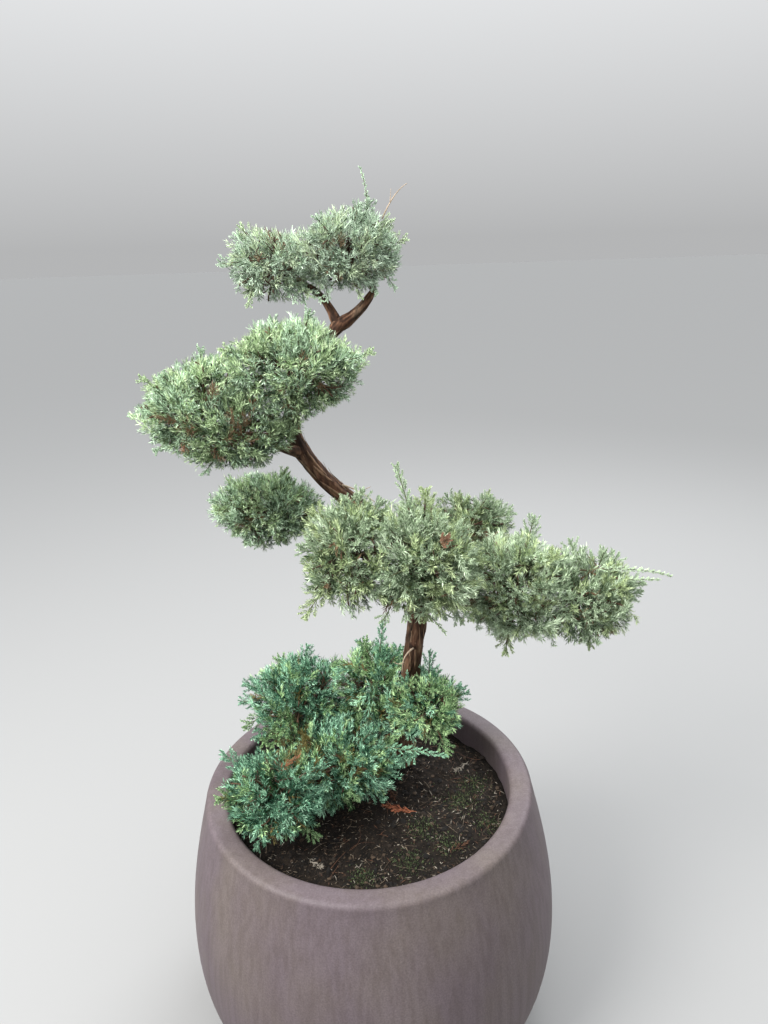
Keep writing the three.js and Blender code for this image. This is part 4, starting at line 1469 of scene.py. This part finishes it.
def add_crumbs(batch, rng):
    """Warped and stretched balls."""
    form = bmesh.new()
    bmesh.ops.create_icosphere(form, subdivisions=1, radius=1.0)
    form.verts.ensure_lookup_table()
    ball = np.array([v.co[:] for v in form.verts])
    ball_faces = [[v.index for v in f.verts] for f in form.faces]
    form.free()
    spots = on_soil(rng, CRUMBS)
    size = rng.gamma(2.0, 0.55, CRUMBS) + 0.8
    warp = 1 + rng.uniform(-0.3, 0.3, (CRUMBS, len(ball)))
    stretch = rng.uniform([0.8, 0.8, 0.45], [1.5, 1.2, 0.9], (CRUMBS, 3))
    turn = rng.uniform(0, TURN, CRUMBS)
    x, y, z = np.moveaxis(ball[None] * warp[..., None] * stretch[:, None] * size[:, None, None], -1, 0)
    c, s = np.cos(turn)[:, None], np.sin(turn)[:, None]
    verts = np.stack([c * x - s * y, s * x + c * y, z], -1) + spots[:, None] + 0.2 * UP
    tints = rng.choice([BLACK, BLACK, BLACK, BROWN, BROWN, CHIP], CRUMBS)
    batch.add_copies(verts, ball_faces, tints)


def add_chips(batch, rng):
    """Bark chips and pale flecks."""
    spots = on_soil(rng, CHIPS) + 1.3 * UP
    lean = rng.normal(0, 0.25, CHIPS)
    way = level_ways(rng.uniform(0, TURN, CHIPS), lean)
    half = way * (rng.gamma(2.0, 0.8, CHIPS)[:, None] + 0.9)
    radii = rng.uniform(0.4, 1.0, CHIPS)
    tints = rng.choice([BROWN, BROWN, CHIP, CHIP, TAN, PALE], CHIPS)
    spindles(batch, spots - half, spots + half, radii, tints)


def add_fibres(batch, rng):
    """Fibres and dead twigs."""
    spots = on_soil(rng, FIBRES)
    turn = rng.uniform(0, TURN, FIBRES)
    way = level_ways(turn, rng.normal(0, 0.1, FIBRES))
    half = rng.uniform(7, 22, FIBRES)[:, None]
    curl = np.stack([-way[:, 1], way[:, 0], np.abs(rng.normal(0, 0.25, FIBRES))], -1)
    curl = curl * half * rng.uniform(-0.6, 0.6, (FIBRES, 1))
    spots = spots + 2.0 * UP
    paths = path_through(spots - way * half, spots + curl, spots + way * half, 6)
    radii = rng.uniform(0.3, 0.6, (FIBRES, 1)) * np.linspace(1, 0.5, 6)[None]
    tubes(batch, paths, radii, 3, rng.choice([BROWN, CHIP, CHIP, TAN, DRY], FIBRES))


def add_straws(batch, rng):
    spots = on_soil(rng, STRAWS) + 1.8 * UP
    turn = rng.uniform(0, TURN, STRAWS)
    way = level_ways(turn, np.abs(rng.normal(0, 0.2, STRAWS)))
    half = way * rng.uniform(2, 6.5, STRAWS)[:, None]
    radii = rng.uniform(0.3, 0.6, STRAWS)
    tints = rng.choice([CHIP, TAN, TAN, PALE, DRY, DRY], STRAWS)
    blades(batch, SLIVER, spots - half, spots + half, radii, 0.0, tints)


def add_moss(batch, rng):
    for middle_x, middle_y, spread in MOSS_PATCHES:
        count = 13 * spread
        x, y = rng.normal(middle_x, spread * 0.5, count), rng.normal(middle_y, spread * 0.5, count)
        fit = np.hypot(x, y) < LITTER_EDGE - 2
        x, y = x[fit], y[fit]
        root = np.stack([x, y, soil_height(x, y)], -1)
        way = unit(rng.normal(0, 0.45, root.shape) + UP)
        tip = root + way * rng.uniform(2.0, 4.6, (len(root), 1))
        radii, rolls = rng.uniform(0.6, 1.2, len(root)), rng.uniform(0, 6, len(root))
        blades(batch, SLIVER, root, tip, radii, rolls, rng.choice([MOSS, MOSS, LIGHT_MOSS], len(root)))


def add_fallen(batch, rng):
    """Fallen sprays, pressed flat."""
    for number, (start, end, tint) in enumerate(FALLEN):
        roots, tips, radii, _, _, length = TEMPLATES["low", False][number]
        start, end = np.array([*start, 0.0]), np.array([*end, 0.0])
        way = unit(end - start)
        scale = np.linalg.norm(end - start) / length
        turn = np.stack([np.cross(UP, way), 0.35 * UP, way]) * scale

        def lay(points):
            flat = points @ turn + start
            flat[:, 2] += soil_height(flat[:, 0], flat[:, 1]) + 3.0
            return flat

        rolls = rng.uniform(0, 6, len(roots))
        blades(batch, SLIVER, lay(roots), lay(tips), radii * 0.7, rolls, tint)


rng = np.random.default_rng(11)
batch = Batch()
for add in (add_crumbs, add_chips, add_fibres, add_straws, add_moss, add_fallen):
    add(batch, rng)
batch.piece("soil_litter", [tinted(*row, 200) for row in LITTER], "soil", False)

# Dead twigs on the trunk and in the crown: start, bend, end and radius
STICKS = [
    ((80, 46, 663), (58, 38, 654), (61, 44, 619), 1.7),
    ((64, 42, 640), (54, 40, 634), (47, 44, 640), 1.0),
    ((-22, 38, 947), (2, 24, 944), (26, 16, 926), 1.5),
    ((4, 25, 940), (14, 18, 946), (21, 12, 951), 0.8),
    ((50, 124, 1318), (68, 122, 1355), (87, 122, 1364), 1.1),
    ((62, 122, 1340), (63, 122, 1350), (64, 122, 1358), 0.6),
    ((-90, 142, 1270), (-86, 140, 1296), (-75, 140, 1304), 0.9),
]
batch = Batch()
for start, bend, end, radius in STICKS:
    tubes(batch, path_through(start, bend, end, 10), np.linspace(radius, radius * 0.4, 10), 6, 0)
batch.piece("dead_twigs", [tinted("dead_wood", (168, 150, 130), 0.85, 0.2, 160)], "bark", True)
